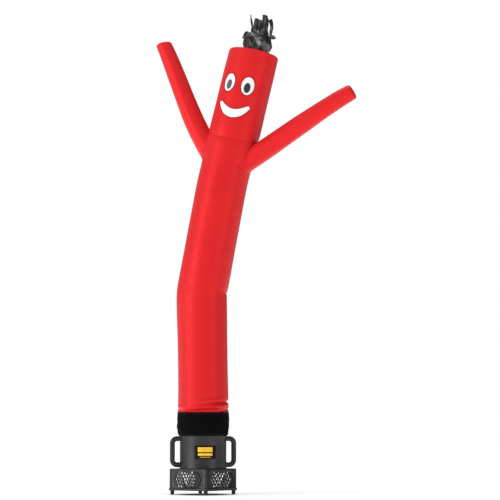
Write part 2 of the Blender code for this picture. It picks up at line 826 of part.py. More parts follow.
def grille_curve():
    """A stadium plate with a staggered pattern of lozenge holes, as a filled flat curve."""
    curve = bpy.data.curves.new("grille", "CURVE")
    curve.dimensions = "2D"
    curve.fill_mode = "BOTH"
    curve.extrude = GRILLE_THICKNESS / 2
    radius = VENT_HEIGHT / 2 - TOUCH
    straight = (VENT_LENGTH - VENT_HEIGHT) / 2
    outline = []
    for number in range(24):
        angle = (number + 0.5) * TURN / 24
        x = radius * math.cos(angle)
        outline.append((x + math.copysign(straight, x), radius * math.sin(angle)))
    add_loop(curve, outline)
    wide = (LOZENGE_WIDTH - STRAND) / 2
    high = (LOZENGE_HEIGHT - STRAND * LOZENGE_HEIGHT / LOZENGE_WIDTH) / 2
    for row in (-1, 0, 1):
        for number in range(-9, 10):
            if (row + number) % 2:
                continue
            x = number * LOZENGE_WIDTH / 2
            y = row * LOZENGE_HEIGHT / 2
            corner = max(abs(x) - straight, 0.0) + wide, abs(y)
            if math.hypot(*corner) > radius - GRILLE_RIM / 2:
                continue
            add_loop(curve, [(x + wide, y), (x, y + high), (x - wide, y), (x, y - high)])
    return curve


def add_loop(curve, points):
    spline = curve.splines.new("POLY")
    spline.points.add(len(points) - 1)
    for point, (x, y) in zip(spline.points, points):
        point.co = (x, y, 0, 1)
    spline.use_cyclic_u = True


def make_grilles():
    shape = grille_curve()
    names = ("front_right", "back_right", "back_left", "front_left")
    for number, name in enumerate(names):
        facing = math.radians(-45 + 90 * number)
        data = shape.copy()
        data.materials.append(new_material("charcoal_plastic", "grille_" + name))
        part = bpy.data.objects.new("grille_" + name, data)
        reach = BASE_HALF - BASE_WALL / 2
        part.location = (reach * math.cos(facing), reach * math.sin(facing), VENT_AT)
        part.rotation_euler = (math.pi / 2, 0, facing + math.pi / 2)
        part.parent = BLOWER
        PARTS.objects.link(part)
    bpy.data.curves.remove(shape)


def make_feet():
    top = BASE_BOTTOM - TOUCH
    names = ("right", "back", "left", "front")
    for number, name in enumerate(names):
        angle = number * math.pi / 2
        mesh = bmesh.new()
        bmesh.ops.create_cone(
            mesh,
            cap_ends=True,
            segments=16,
            radius1=FOOT_RADIUS - FOOT_TAPER,
            radius2=FOOT_RADIUS,
            depth=top,
            matrix=Matrix.Translation((0, 0, top / 2)),
        )
        part = add_part("foot_" + name, mesh, "black_rubber", BLOWER)
        part.location = (FOOT_AT * math.cos(angle), FOOT_AT * math.sin(angle), 0)
        smooth(part)
        bevel = part.modifiers.new("edge", "BEVEL")
        bevel.width = 0.0015
        bevel.segments = 1
        bevel.limit_method = "ANGLE"


def handle_line():
    """(point, outwards) along the handle's middle line in the XZ plane, from its upper root."""
    x = HANDLE_REACH - HANDLE_THICK / 2
    high = HANDLE_TOP - HANDLE_THICK / 2
    low = HANDLE_BOTTOM + HANDLE_THICK / 2
    line = [(Vector((HANDLE_ROOT, 0, high)), Vector((0, 0, 1)))]
    corners = [
        (Vector((x - HANDLE_BEND, 0, high - HANDLE_BEND)), 90),
        (Vector((x - HANDLE_BEND, 0, low + HANDLE_BEND)), 0),
    ]
    for centre, start in corners:
        for angle in steps(math.radians(start), math.radians(start - 90), 4):
            outwards = Vector((math.cos(angle), 0, math.sin(angle)))
            line.append((centre + outwards * HANDLE_BEND, outwards))
    line.append((Vector((HANDLE_ROOT, 0, low)), Vector((0, 0, -1))))
    return line


def make_handles():
    line = handle_line()
    levels = [(0, 0.0)] + [(number, 1.0) for number in range(len(line))] + [(len(line) - 1, 0.0)]

    def place(share, level):
        number, spread = level
        point, outwards = line[number]
        angle = (share + 0.5 / 12) * TURN
        # a bar of rounded square section
        across = math.copysign(abs(math.cos(angle)) ** 0.6, math.cos(angle))
        deep = math.copysign(abs(math.sin(angle)) ** 0.6, math.sin(angle))
        offset = outwards * across * HANDLE_THICK / 2 + Vector((0, 1, 0)) * deep * HANDLE_DEEP / 2
        return point + offset * spread

    mesh = bmesh.new()
    bmesh.ops.create_cone(
        mesh,
        cap_ends=True,
        segments=40,
        radius1=BODY_RADIUS + TOUCH,
        radius2=BODY_RADIUS + TOUCH,
        depth=0.3,
        matrix=Matrix.Translation((0, 0, 0.25)),
    )
    core = add_cutter("housing_core", mesh, BLOWER)
    flange = bmesh.new()
    bmesh.ops.create_cone(
        flange,
        cap_ends=True,
        segments=40,
        radius1=LOW_FLANGE_RADIUS + CUFF_ROOM,
        radius2=LOW_FLANGE_RADIUS + CUFF_ROOM,
        depth=0.04,
        matrix=Matrix.Translation((0, 0, BODY_TOP - SOFT_EDGE - TOUCH + 0.02)),
    )
    clear = add_cutter("cuff_room", flange, BLOWER)
    for name, turn in (("right", 0.0), ("left", math.pi)):
        part = add_part("handle_" + name, rolled(12, levels, place), "charcoal_plastic", BLOWER)
        part.rotation_euler = (0, 0, turn)
        smooth(part, 50)
        boolean(part, core)
        boolean(part, clear)


def make_plate():
    def place(share, height):
        angle = (share - 0.5) * PLATE_SPAN / BODY_RADIUS + PLATE_TURN
        radius = BODY_RADIUS + TOUCH
        return Vector((radius * math.sin(angle), -radius * math.cos(angle), height))

    levels = [PLATE_AT - PLATE_HEIGHT / 2, PLATE_AT + PLATE_HEIGHT / 2]
    part = add_part("front_plate", rolled(10, levels, place, whole=False), "plate_black", BLOWER)
    solidify(part, PLATE_THICKNESS, outwards=True)


clear_scene()
PARTS = new_collection("inflatable_air_dancer")
CUTTERS = new_collection("cutters")
BLOWER = new_empty("blower", location=BLOWER_AT)
DANCER = new_empty("dancer", parent=BLOWER, turn=DANCER_TURN)

make_body()
make_base()
make_grilles()
make_feet()
make_handles()
make_plate()

torso_part = make_tube("torso_tube", TORSO_LEVELS, torso_up)
trunk_part = add_cutter("trunk", trunk_solid(TOUCH), DANCER)
for arm_row in ARMS:
    make_arm(arm_row, trunk_part, torso_part)
make_tube("head_tube", HEAD_LEVELS, head_up)
make_head_top()
make_cuff()
for eye in EYES:
    make_oval(eye, "white_cloth", PATCH_LIFT, 20, [1.0, 0.66, 0.33, 0.0])
for pupil in PUPILS:
    make_oval(pupil, "black_cloth", 2 * PATCH_LIFT + PATCH, 16, [1.0, 0.5, 0.0])
make_mouth()
make_hair()
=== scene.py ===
"""The looks of an inflatable air dancer on its blower: satin red cloth with its folds, seams and
stitches, a black cuff, a tuft of crumpled black strips, and a pebbled charcoal blower.

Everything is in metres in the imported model's frame. The dancer is worked out in its own frame,
about the blower's axis, and turned on the blower's neck. Its front is -Y there, and angles round
the tube run from the front to the viewer's right. "up" is a length along the tube's middle line.
"""

import math

import bmesh
import bpy
import numpy as np
from mathutils import Matrix, Vector


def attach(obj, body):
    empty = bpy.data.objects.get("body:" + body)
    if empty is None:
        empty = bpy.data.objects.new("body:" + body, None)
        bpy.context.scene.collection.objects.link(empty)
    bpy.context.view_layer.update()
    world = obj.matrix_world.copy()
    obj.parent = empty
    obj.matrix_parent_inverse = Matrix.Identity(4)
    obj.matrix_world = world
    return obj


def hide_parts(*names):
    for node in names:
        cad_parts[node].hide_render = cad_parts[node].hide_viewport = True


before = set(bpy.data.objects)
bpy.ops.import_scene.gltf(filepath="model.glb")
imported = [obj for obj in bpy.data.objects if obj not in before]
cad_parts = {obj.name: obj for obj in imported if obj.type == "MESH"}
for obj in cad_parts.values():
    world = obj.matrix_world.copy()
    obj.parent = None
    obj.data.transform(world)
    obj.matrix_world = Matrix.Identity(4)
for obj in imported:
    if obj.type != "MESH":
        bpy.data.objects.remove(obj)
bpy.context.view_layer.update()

TURN = 2 * math.pi
BACK = np.array([0, 1.0, 0])


def table(columns, *rows):
    """Rows as dictionaries, by the names of their columns."""
    return [dict(zip(columns.split(), row)) for row in rows]


# ---- Where things stand ----
BLOWER_AT = Vector((-0.243, 0.0765, 0.0))
DANCER_TURN = math.radians(-5.1)
CAMERA_AT = BLOWER_AT + Vector((-0.738, -8.267, 0.300))
CAMERA_TURN = (math.radians(96.085), 0, math.radians(-6.666))
CAMERA_LENS = 122.81
LIGHTS_AIM = Vector((0, 0, 1.2))
SOFTBOXES = table(
    "name at size watts",
    ("key", (-6.8, -2.8, 2.2), (3.0, 4.6), 305),
    ("fill", (4.8, -5.4, 2.0), (2.6, 4.4), 128),
    ("top", (0.0, 0.4, 6.0), (3.0, 3.0), 85),
)
DARK_WAY = (0.91, 0.41, 0.0)  # the studio is darker to the right, a little behind
FLOOR_REACH = 60.0
WHITE_LIGHT = (1, 1, 1, 1)

# ---- The tube ----
CUFF_FOOT = 0.280
CUFF_HEIGHT = 0.114
CUFF_RADIUS = 0.1254
CUFF_CLOTH = 0.0014
CUFF_SNUG = 0.1178  # its radius on the blower's neck
TUBE_RADIUS = 0.1222
HEAD_RADIUS = 0.1252
RIM_RADIUS = 0.1228
RIM_ROUND = 0.004  # of the edge between the head and its top panel
RIM_DRAW = 0.35  # of that, how far the cloth is drawn in
CLOTH = 0.0011
TORSO_FOOT = 0.096
KINK = 0.705
KINK_PINCH = 0.0015
SEAM = 1.4735
SEAM_DIP = 0.020
SEAM_RISE = 0.007
SEAM_PINCH = 0.0042
HEAD_TOP = 1.906
CROWN = 0.011
TOP_SLANT = 0.004
SHOULDER_TURN = math.radians(-20)
SHOULDER_SWELL = 0.0025
BENDS = table(
    "at length lean",
    (0.20, 0.04, -0.93),
    (0.692, 0.09, 10.12),
    (1.223, 0.14, 13.56),
)
# Levels up the middle line with the tube's radius there.
GIRTHS = [
    (0.140, 0.1222), (0.200, 0.1215), (0.470, 0.1215), (0.560, 0.1222), (1.280, 0.1222),
    (1.500, 0.1245), (1.600, 0.1250), (1.800, 0.1252), (1.906, 0.1228),
]
# Heights above the cuff's foot with its radius there.
OVER_CLOTH = TUBE_RADIUS + 0.0026
CUFF_PROFILE = [
    (0.0008, CUFF_SNUG - 0.0012), (0.0012, CUFF_SNUG), (0.003, CUFF_SNUG + 0.0010),
    (0.007, 0.1206), (0.020, 0.1238), (0.042, CUFF_RADIUS + 0.0004),
    (0.068, CUFF_RADIUS + 0.0002), (0.090, 0.1251), (CUFF_HEIGHT - 0.010, OVER_CLOTH + 0.0002),
    (CUFF_HEIGHT - 0.002, OVER_CLOTH), (CUFF_HEIGHT, OVER_CLOTH - 0.0006),
]
# Where rows of faces lie: an end of each stretch with the step up to it.
TORSO_ROWS = [
    (TORSO_FOOT, 0), (0.190, 0.0028), (0.30, 0.007), (0.66, 0.015), (0.67, 0.01), (0.75, 0.004),
    (1.20, 0.014), (1.21, 0.01), (1.44, 0.005),
]
HEAD_ROWS = [(1.512, 0), (1.56, 0.004), (HEAD_TOP - 0.03, 0.006), (HEAD_TOP, 0.0025)]
CUFF_ROWS = [(0.0008, 0), (CUFF_HEIGHT - 0.004, 0.0022), (CUFF_HEIGHT, 0.001)]
TUBE_COLUMNS = 168
CUFF_COLUMNS = 192
SEAM_POINTS = 400  # along a line of stitches round the tube

# Folds and ridges of the cloth above the cuff, from one end to the other in degrees round the
# tube and in metres up it. A negative depth is a ridge.
FOLDS = table(
    "turn_from turn_to up_from up_to depth width",
    (-8, 122, 0.150, 0.170, 0.0125, 0.0056),
    (-50, 38, 0.119, 0.133, 0.0150, 0.0050),
    (-26, 50, 0.158, 0.178, -0.0034, 0.0060),
    (4, 84, 0.135, 0.150, -0.0036, 0.0045),
    (-84, -24, 0.144, 0.137, -0.0016, 0.0080),
    (34, 104, 0.117, 0.133, 0.0055, 0.0045),
    (-10, 60, 0.182, 0.198, 0.0016, 0.0070),
    (-72, 84, 0.1165, 0.1165, -0.0022, 0.0024),
    (-96, -40, 0.132, 0.120, 0.0040, 0.0060),
    (130, 190, 0.155, 0.125, 0.0060, 0.0100),
    (-150, -95, 0.123, 0.147, 0.0050, 0.0100),
    (168, 228, 0.137, 0.167, 0.0035, 0.0070),
)
# Soft dents of the cloth elsewhere, pulled by the seams of the arms and by the bend.
DENTS = table(
    "turn_from turn_to up_from up_to depth width",
    (18, 62, 1.325, 1.335, 0.0022, 0.0065),
    (34, 60, 1.366, 1.342, -0.0012, 0.0100),
    (96, 150, 1.330, 1.300, 0.0026, 0.0080),
    (62, 122, 0.696, 0.706, 0.0028, 0.0070),
    (66, 118, 0.727, 0.719, 0.0022, 0.0060),
    (140, 176, 0.690, 0.712, 0.0018, 0.0080),
    (215, 250, 1.290, 1.268, 0.0026, 0.0070),
    (236, 268, 1.262, 1.280, 0.0022, 0.0080),
)

# ---- Arms ----
ARM_TIP_RADIUS = 0.0376
ARM_ROOT_RADIUS = 0.0570
ARM_COLUMNS = 96
FLARE = 0.010
FLARE_REACH = 0.032
ARMS = table(
    "name side from lean late length slant bulge",
    ("arm_left", -1, 1.314, (46.2, 18.4, 24.8), 3, 0.738, 0.006, 0.0014),
    ("arm_right", 1, 1.286, (63.3, 57.75, 65.5), 6, 0.756, 0.002, 0.0020),
)
# The rounded end of a sleeve: how far back from its tip, and the share of its radius there.
ARM_END = [
    (0.0080, 0.985), (0.0045, 0.955), (0.0015, 0.90), (0.0002, 0.83), (-0.0012, 0.72),
    (-0.0020, 0.55), (-0.0026, 0.35), (-0.0028, 0.15), (-0.0028, 0.02),
]

# ---- Face ----
EYES = table(
    "name turn up half",
    ("eye_left", -39.3, 0.2495, (0.0300, 0.0455)),
    ("eye_right", 5.1, 0.2455, (0.0325, 0.0455)),
)
PUPILS = table(
    "name turn up half",
    ("pupil_left", -38.4, 0.2395, (0.0135, 0.0240)),
    ("pupil_right", 4.6, 0.2355, (0.0155, 0.0250)),
)
PATCH = 0.0008
MOUTH_TURN = -15.4
MOUTH_UP = 0.1510
MOUTH_HALF = 0.078
MOUTH_SAG = 0.0515
MOUTH_HEIGHT = 0.043
MOUTH_END = 0.017
MOUTH_CAP = 0.92
MOUTH_TILT = math.radians(-1.7)
OVAL_COLUMNS = 72
MOUTH_COLUMNS = 110
MOUTH_EDGE_POINTS = 160
# Across a patch from its edge: the share of its size, and how far the cloth drops to the head.
OVAL_LEVELS = [(1.0, -0.0010), (0.985, -0.0002), (0.965, 0.0), (0.90, 0.0), (0.78, 0.0),
               (0.62, 0.0), (0.46, 0.0), (0.30, 0.0), (0.15, 0.0), (0.02, 0.0)]
MOUTH_LEVELS = [(-1.0, -0.001), (-0.97, -0.0003), (-0.92, 0.0), (-0.8, 0.0), (-0.5, 0.0),
                (-0.2, 0.0), (0.2, 0.0), (0.5, 0.0), (0.8, 0.0), (0.92, 0.0), (0.97, -0.0003),
                (1.0, -0.001)]

# ---- Hair ----
HAIR_RADIUS = 0.0585
HAIR_SHIFT = 0.007
HAIR_ROLL = 0.016
HAIR_BAND = 0.0905
HAIR_BULGE = 0.0165
HAIR_WAIST = 0.009
HAIR_RUFFLE = 0.003
HAIR_RUFFLES = 5
HAIR_SLIT = 0.12
HAIR_CLOTH = 0.0008
HAIR_START = math.radians(180)
STRIP_TURN = math.radians(30)
STRIP_CUP = 0.006
STRIP_STEPS = 60  # along a strip's middle line
STRIP_COLUMNS = 14
STRIP_ROWS = 34
BAND_ROWS = 30
STRIPS = table(
    "length lean sway tip twist",
    (0.066, (-10, -2), 4, 0.9, 0),
    (0.122, (16, 28), 0, 0.35, 0),
    (0.047, (104, 152), -6, 0.6, 80),
    (0.044, (108, 158), 6, 0.7, 45),
    (0.072, (-4, -6), 2, 0.8, 0),
    (0.068, (-10, -4), -5, 0.95, 0),
    (0.094, (-8, -2), -6, 1.0, 0),
    (0.088, (-14, -8), -6, 0.8, 0),
    (0.090, (19, -44), -2, 0.8, 60),
    (0.040, (30, 140), -5, 0.7, 45),
    (0.072, (-6, -14), 5, 0.8, 0),
    (0.086, (-8, -10), -4, 0.9, 0),
    (0.076, (-4, -8), 5, 0.8, 0),
    (0.064, (0, 4), 4, 0.9, 0),
    (0.050, (2, -6), 0, 0.6, 0),
    (0.060, (-4, -10), 3, 0.8, 0),
)

# ---- Blower ----
BODY_RADIUS = 0.1126
BODY_WALL = 0.004
DECK_HEIGHT = 0.124
BODY_TOP = 0.280
NECK_TOP = 0.329
LOW_FLANGE_RADIUS = 0.1146
LOW_FLANGE_HEIGHT = 0.011
BAND_RADIUS = 0.1129
TOP_FLANGE_RADIUS = 0.1163
TOP_FLANGE_HEIGHT = 0.009
BASE_HALF = 0.1167
BASE_CORNER = 0.009
BASE_WALL = 0.004
BASE_BOTTOM = 0.0205
BASE_ROUND = 0.0035  # of its upper edge
BASE_SOFT = 0.0009  # of its lip's edges
LIP_HEIGHT = 0.011
LIP_OUT = 0.0033
DECK_HOLE_RADIUS = 0.102
FOOT_AT = 0.148
FOOT_RADIUS = 0.0095
BOSS_RADIUS = 0.0115
BOSS_HEIGHT = 0.011
VENT_LENGTH = 0.171
VENT_HEIGHT = 0.080
VENT_AT = 0.0725
MESH_WIDE = 0.0182
MESH_HIGH = 0.031
MESH_STRAND = 0.0028
HANDLE_REACH = 0.1606
HANDLE_TOP = 0.2795
HANDLE_BOTTOM = 0.130
HANDLE_THICK = 0.024
HANDLE_DEEP = 0.027
HANDLE_BEND = 0.0225
HANDLE_FLARES = (0.10, 0.06, 0.02, 0.0)  # at its ends, row by row
HANDLE_SQUARE = 0.62  # less is squarer
PLATE_SPAN = 0.104
PLATE_HEIGHT = 0.063
PLATE_AT = 0.2035
PLATE_THICK = 0.0010
PLATE_TURN = math.radians(0.2)
BARS = table(
    "half up",
    ((0.0355, 0.0115), 0.0118),
    ((0.0350, 0.0060), -0.0110),
    ((0.0260, 0.0014), -0.0240),
)

# ---- Finishes ----
# A weave's pitch is in metres. Gloss is the mirror-like share of a finish, tint how white it is.
CLOTHS = table(
    "name colours roughness pitch weave sheen crumple gloss tint",
    ("red_nylon", ((0.70, 0.022, 0.024), (0.65, 0.019, 0.023)),
     0.39, 0.0011, 0.10, 0.04, 0, 0.85, 0.05),
    ("black_cuff_cloth", ((0.0022, 0.0020, 0.0022), (0.0034, 0.0030, 0.0034)),
     0.8, 0.0012, 0.35, 0.0, 0, 0.05, 1.0),
    ("black_hair_cloth", ((0.005, 0.006, 0.0055), (0.010, 0.011, 0.010)),
     0.26, 0.0010, 0.16, 0.02, 0.35, 0.9, 1.0),
    ("white_patch_cloth", ((0.88, 0.88, 0.88), (0.84, 0.84, 0.85)),
     0.5, 0.0010, 0.15, 0.05, 0, 0.5, 1.0),
    ("dark_patch_cloth", ((0.012, 0.018, 0.020), (0.020, 0.028, 0.031)),
     0.45, 0.0010, 0.15, 0.05, 0, 0.5, 1.0),
    # painted sheen: a paler copy of the dark patch cloth, for the left pupil
    ("paler_patch_cloth", ((0.055, 0.070, 0.080), (0.075, 0.090, 0.100)),
     0.45, 0.0010, 0.15, 0.05, 0, 0.5, 1.0),
)
PLASTICS = table(
    "name colour grain",
    ("charcoal_plastic", (0.012, 0.012, 0.0125), 1.0),
    ("charcoal_mesh_plastic", (0.012, 0.012, 0.0125), 0.3),
)
PLAIN_FINISHES = table(
    "name colour roughness grain gloss",
    ("red_thread", (0.62, 0.016, 0.020), 0.5, 0.2, 0.5),
    # the dark line round the white patches: partly their hem, partly painted shade at their edges
    ("maroon_thread", (0.20, 0.004, 0.008), 0.75, 0.2, 0.03),
    ("white_thread", (0.74, 0.74, 0.74), 0.5, 0.2, 0.5),
    ("black_thread", (0.020, 0.020, 0.021), 0.6, 0.2, 0.5),
    ("foot_rubber", (0.012, 0.012, 0.012), 0.75, 0.4, 0.5),
    ("badge_black", (0.0035, 0.0030, 0.0040), 0.55, 0.08, 0.12),
    ("badge_amber", (0.85, 0.50, 0.015), 0.45, 0.08, 0.5),
)


# ---- Nodes ----
def feed(tree, node, inputs):
    """Sets inputs of a node to values, or links them to the outputs of others."""
    for name, value in inputs.items():
        if isinstance(value, bpy.types.NodeSocket):
            tree.links.new(value, node.inputs[name])
        else:
            node.inputs[name].default_value = value
    return node


def new_node(tree, kind, inputs, **settings):
    node = tree.nodes.new("ShaderNode" + kind)
    for name, value in settings.items():
        setattr(node, name, value)
    return feed(tree, node, inputs)


def maths(tree, operation, first, second=0.0):
    return new_node(tree, "Math", {0: first, 1: second}, operation=operation).outputs[0]


def map_range(tree, value, before, after):
    ends = {"From Min": before[0], "From Max": before[1], "To Min": after[0], "To Max": after[1]}
    return new_node(tree, "MapRange", {"Value": value, **ends}).outputs["Result"]


def object_place(tree):
    return new_node(tree, "TexCoord", {}).outputs["Object"]


def noise(tree, place, scale, detail=4.0, roughness=0.55):
    inputs = {"Vector": place, "Scale": scale, "Detail": detail, "Roughness": roughness}
    return new_node(tree, "TexNoise", inputs).outputs["Fac"]


def ramp(tree, value, first, last):
    """From one stop, (place, colour or number), to another."""
    node = new_node(tree, "ValToRGB", {"Fac": value})
    for element, (place, colour) in zip(node.color_ramp.elements, (first, last)):
        element.position = place
        element.color = (*colour, 1) if isinstance(colour, tuple) else (colour, colour, colour, 1)
    return node.outputs["Color"]


def bump(tree, height, strength, distance):
    inputs = {"Height": height, "Strength": strength, "Distance": distance}
    return new_node(tree, "Bump", inputs).outputs["Normal"]


# ---- Materials ----
def new_material(name, colour, roughness):
    made = bpy.data.materials.new(name)
    made.use_nodes = True
    tree = made.node_tree
    shader = tree.nodes["Principled BSDF"]
    feed(tree, shader, {"Base Color": (*colour, 1), "Roughness": roughness})
    return made, tree, shader


def lighter(colour, share):
    return tuple(share * channel for channel in colour)


def woven_cloth(name, colours, roughness, pitch, weave, sheen, crumple, gloss, tint):
    """Plain-woven cloth: threads over and under at a pitch, uneven colour and soft sheen."""
    made, tree, shader = new_material(name, colours[0], roughness)
    place = object_place(tree)
    uv = new_node(tree, "UVMap", {}, uv_map="cloth").outputs["UV"]
    split = new_node(tree, "SeparateXYZ", {0: uv})
    turns = [maths(tree, "MULTIPLY", split.outputs[i], TURN / pitch) for i in (0, 1)]
    height = maths(tree, "MULTIPLY", *[maths(tree, "SINE", turn) for turn in turns])
    if crumple:
        fine = noise(tree, place, 95.0, 5.0, 0.6)
        height = maths(tree, "ADD", height, maths(tree, "MULTIPLY", fine, crumple))
    cloud, rough = noise(tree, place, 5.0, 3.0), noise(tree, place, 38.0)
    feed(tree, shader, {
        "Base Color": ramp(tree, cloud, (0.30, colours[0]), (0.70, colours[1])),
        "Roughness": ramp(tree, rough, (0.35, roughness - 0.05), (0.65, roughness + 0.06)),
        "Normal": bump(tree, height, weave, 0.0004),
        "Sheen Weight": sheen,
        "Sheen Roughness": 0.4,
        "Sheen Tint": (1.0, tint, tint, 1.0),
        "Specular IOR Level": gloss,
        "Specular Tint": (1.0, tint, tint, 1.0),
    })
    return made


def pebbled_plastic(name, colour, grain):
    """Moulded plastic with a fine pebbled grain, a little lighter where it is worn."""
    made, tree, shader = new_material(name, colour, 0.5)
    place = object_place(tree)
    pebble = new_node(tree, "TexVoronoi", {"Vector": place, "Scale": 420.0}, feature="SMOOTH_F1")
    fine = maths(tree, "MULTIPLY", noise(tree, place, 700.0, 3.0), 0.5)
    height = maths(tree, "ADD", pebble.outputs["Distance"], fine)
    cloud, rough = noise(tree, place, 14.0), noise(tree, place, 60.0)
    feed(tree, shader, {
        "Base Color": ramp(tree, cloud, (0.3, colour), (0.75, lighter(colour, 1.35))),
        "Roughness": ramp(tree, rough, (0.3, 0.34), (0.7, 0.46)),
        "Normal": bump(tree, height, 0.55 * grain, 0.0006),
        "Specular IOR Level": 0.43,
    })
    return made


def plain_finish(name, colour, roughness, grain, gloss):
    """Thread, rubber or paint, a little uneven in colour."""
    made, tree, shader = new_material(name, colour, roughness)
    place = object_place(tree)
    fine, cloud = noise(tree, place, 260.0), noise(tree, place, 30.0, 3.0)
    feed(tree, shader, {
        "Base Color": ramp(tree, cloud, (0.3, colour), (0.7, lighter(colour, 1.2))),
        "Normal": bump(tree, fine, grain, 0.0003),
        "Specular IOR Level": gloss,
    })
    return made


def make_materials():
    """All the finishes, by name."""
    kinds = ((woven_cloth, CLOTHS), (pebbled_plastic, PLASTICS), (plain_finish, PLAIN_FINISHES))
    return {row["name"]: make(**row) for make, rows in kinds for row in rows}


# ---- Objects and meshes ----
def add_object(name, data):
    made = bpy.data.objects.new(name, data)
    bpy.context.scene.collection.objects.link(made)
    return made


def show(name, mesh, material, replaced=(), sharp=60):
    """Puts a finished mesh in the scene, on the one body."""
    mesh.materials.append(material)
    mesh.shade_smooth()
    mesh.set_sharp_from_angle(angle=math.radians(sharp))
    piece = add_object(name, mesh)
    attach(piece, "root")
    if replaced:
        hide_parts(*replaced)
    return piece


def grid(name, points, closed=True, flat=None, cut=None):
    """A mesh of rows and columns of points, an array (rows, columns, 3). flat is the same shape
    with the cloth's own coordinates in metres, one column more if the grid is closed, and cut
    says of each row and column whether its face is left out."""
    rows, columns = points.shape[:2]
    row, column = np.indices((rows - 1, columns if closed else columns - 1)).reshape(2, -1)
    if cut is not None:
        kept = ~cut(row, column)
        row, column = row[kept], column[kept]
    after = (column + 1) % columns
    corners = [row * columns + column, row * columns + after]
    corners += [(row + 1) * columns + after, (row + 1) * columns + column]
    mesh = bpy.data.meshes.new(name)
    mesh.from_pydata(points.reshape(-1, 3).tolist(), [], np.stack(corners, axis=-1).tolist())
    if flat is not None:
        places = [flat[row, column], flat[row, column + 1]]
        places += [flat[row + 1, column + 1], flat[row + 1, column]]
        layer = mesh.uv_layers.new(name="cloth")
        layer.data.foreach_set("uv", np.stack(places, axis=1).reshape(-1).astype(np.float32))
    return mesh


def flat_tube(around, along, columns):
    """Cloth coordinates of a closed grid: around is its width, along the length at each row."""
    across = np.linspace(0, around, columns + 1)
    return np.stack(np.broadcast_arrays(across, np.asarray(along)[:, None]), axis=-1)


def flat_disc(x, y):
    """Cloth coordinates of a closed grid whose rows lie within each other."""
    flat = np.stack([x, y], axis=-1)
    return np.concatenate([flat, flat[:, :1]], axis=1)


def sew(name, points, flat, material, node, thickness=CLOTH, closed=True, cut=None):
    """A sheet of cloth in place of a CAD node: a grid of points of the dancer's frame, with the
    sheet's thickness applied to it. Where it is cut, fewer of its edges are shaded sharp."""
    mesh = grid(name, to_world(points), closed, flat, cut)
    piece = show(name, mesh, material, [node], 80 if cut else 60)
    made = piece.modifiers.new("thickness", "SOLIDIFY")
    made.thickness = thickness
    made.offset = -1.0
    made.use_even_offset = False
    apply_modifiers(piece)
    return piece


def apply_modifiers(piece):
    graph = bpy.context.evaluated_depsgraph_get()
    mesh = bpy.data.meshes.new_from_object(piece.evaluated_get(graph))
    old = piece.data
    piece.modifiers.clear()
    piece.data = mesh
    bpy.data.meshes.remove(old)


def mend(mesh, near=1e-6, filled=False):
    """Joins points that meet, fills holes if asked to, and turns all faces outwards."""
    made = bmesh.new()
    made.from_mesh(mesh)
    bmesh.ops.remove_doubles(made, verts=made.verts, dist=near)
    if filled:
        open_edges = [edge for edge in made.edges if edge.is_boundary]
        bmesh.ops.holes_fill(made, edges=open_edges, sides=0)
    bmesh.ops.recalc_face_normals(made, faces=made.faces)
    made.to_mesh(mesh)
    made.free()


def lathe(name, profile, columns, place=(0, 0)):
    """A closed profile of (radius, height) turned about the blower's axis, or one beside it."""
    profile = np.array(profile)
    angle = round_angles(columns)
    x = profile[:, 0, None] * np.cos(angle) + BLOWER_AT.x + place[0]
    y = profile[:, 0, None] * np.sin(angle) + BLOWER_AT.y + place[1]
    z = np.broadcast_to(profile[:, 1, None], x.shape)
    return grid(name, np.stack([x, y, z], axis=-1))


def rounded(points, radius, steps=3):
    """A closed loop of (x, y) with each corner rounded."""
    made = []
    for number, here in enumerate(points):
        here = Vector(here)
        before = Vector(points[number - 1]) - here
        after = Vector(points[(number + 1) % len(points)]) - here
        reach = min(radius, before.length * 0.49, after.length * 0.49)
        first = here + before.normalized() * reach
        last = here + after.normalized() * reach
        for share in [step / steps for step in range(steps + 1)]:
            from_first, at_corner = first * (1 - share) ** 2, here * 2 * share * (1 - share)
            made.append(tuple(from_first + at_corner + last * share**2))
    return made


# ---- Numbers along lines and round things ----
def round_angles(columns):
    return np.linspace(0, TURN, columns, endpoint=False)


def level_rows(stops, columns):
    """Rows of levels along stops of (end, step), from the first end, the same in each column."""
    levels = [stops[0][0]]
    for (start, _), (end, step) in zip(stops, stops[1:]):
        count = max(1, round((end - start) / step))
        levels += list(np.linspace(start, end, count + 1)[1:])
    return np.repeat(np.array(levels)[:, None], columns, axis=1)


def between(rows, at):
    """A value between rows of (place, value)."""
    return np.interp(at, *zip(*rows))


def sample(at, run, rows):
    """Points between rows of (x, y, z), whose places are in run."""
    return np.stack([np.interp(at, run, rows[:, i]) for i in range(3)], axis=-1)


def bell(distance, width):
    return np.exp(-((distance / width) ** 2))


def turn_between(angle, middle):
    return (angle - middle + math.pi) % TURN - math.pi


def place_round(angle, radius, height):
    """Points round an axis, for uneven values there."""
    point = np.broadcast_arrays(radius * np.sin(angle), radius * np.cos(angle), height)
    return np.stack(point, axis=-1)


def waves(points, size, seed, count=20):
    """Smooth uneven values round 0 at points, as a sum of sine waves of about one size."""
    draw = np.random.default_rng(seed)
    total = np.zeros(points.shape[:-1])
    for _ in range(count):
        way = draw.normal(size=points.shape[-1])
        way /= np.linalg.norm(way)
        length = size * draw.uniform(0.7, 1.5)
        total += np.sin(points @ way * TURN / length + draw.uniform(0, TURN))
    return total / math.sqrt(count / 2)


def ridge_noise(points, size, seed):
    """Crumpled paper: sharp valleys where waves cross their middle."""
    return 1 - np.abs(waves(points, size, seed, 10))


def puckers(angle, distance, seed, reach, count):
    """Small gathers that run out from a seam, strongest at it."""
    draw = np.random.default_rng(seed)
    total = 0.0
    for _ in range(4):
        number = int(count * draw.uniform(0.6, 1.3))
        total = total + np.sin(number * angle + draw.uniform(0, TURN))
    uneven = 0.6 + 0.4 * np.sin(3 * angle + draw.uniform(0, TURN))
    return total / 2 * uneven * np.exp(-np.abs(distance) / reach)


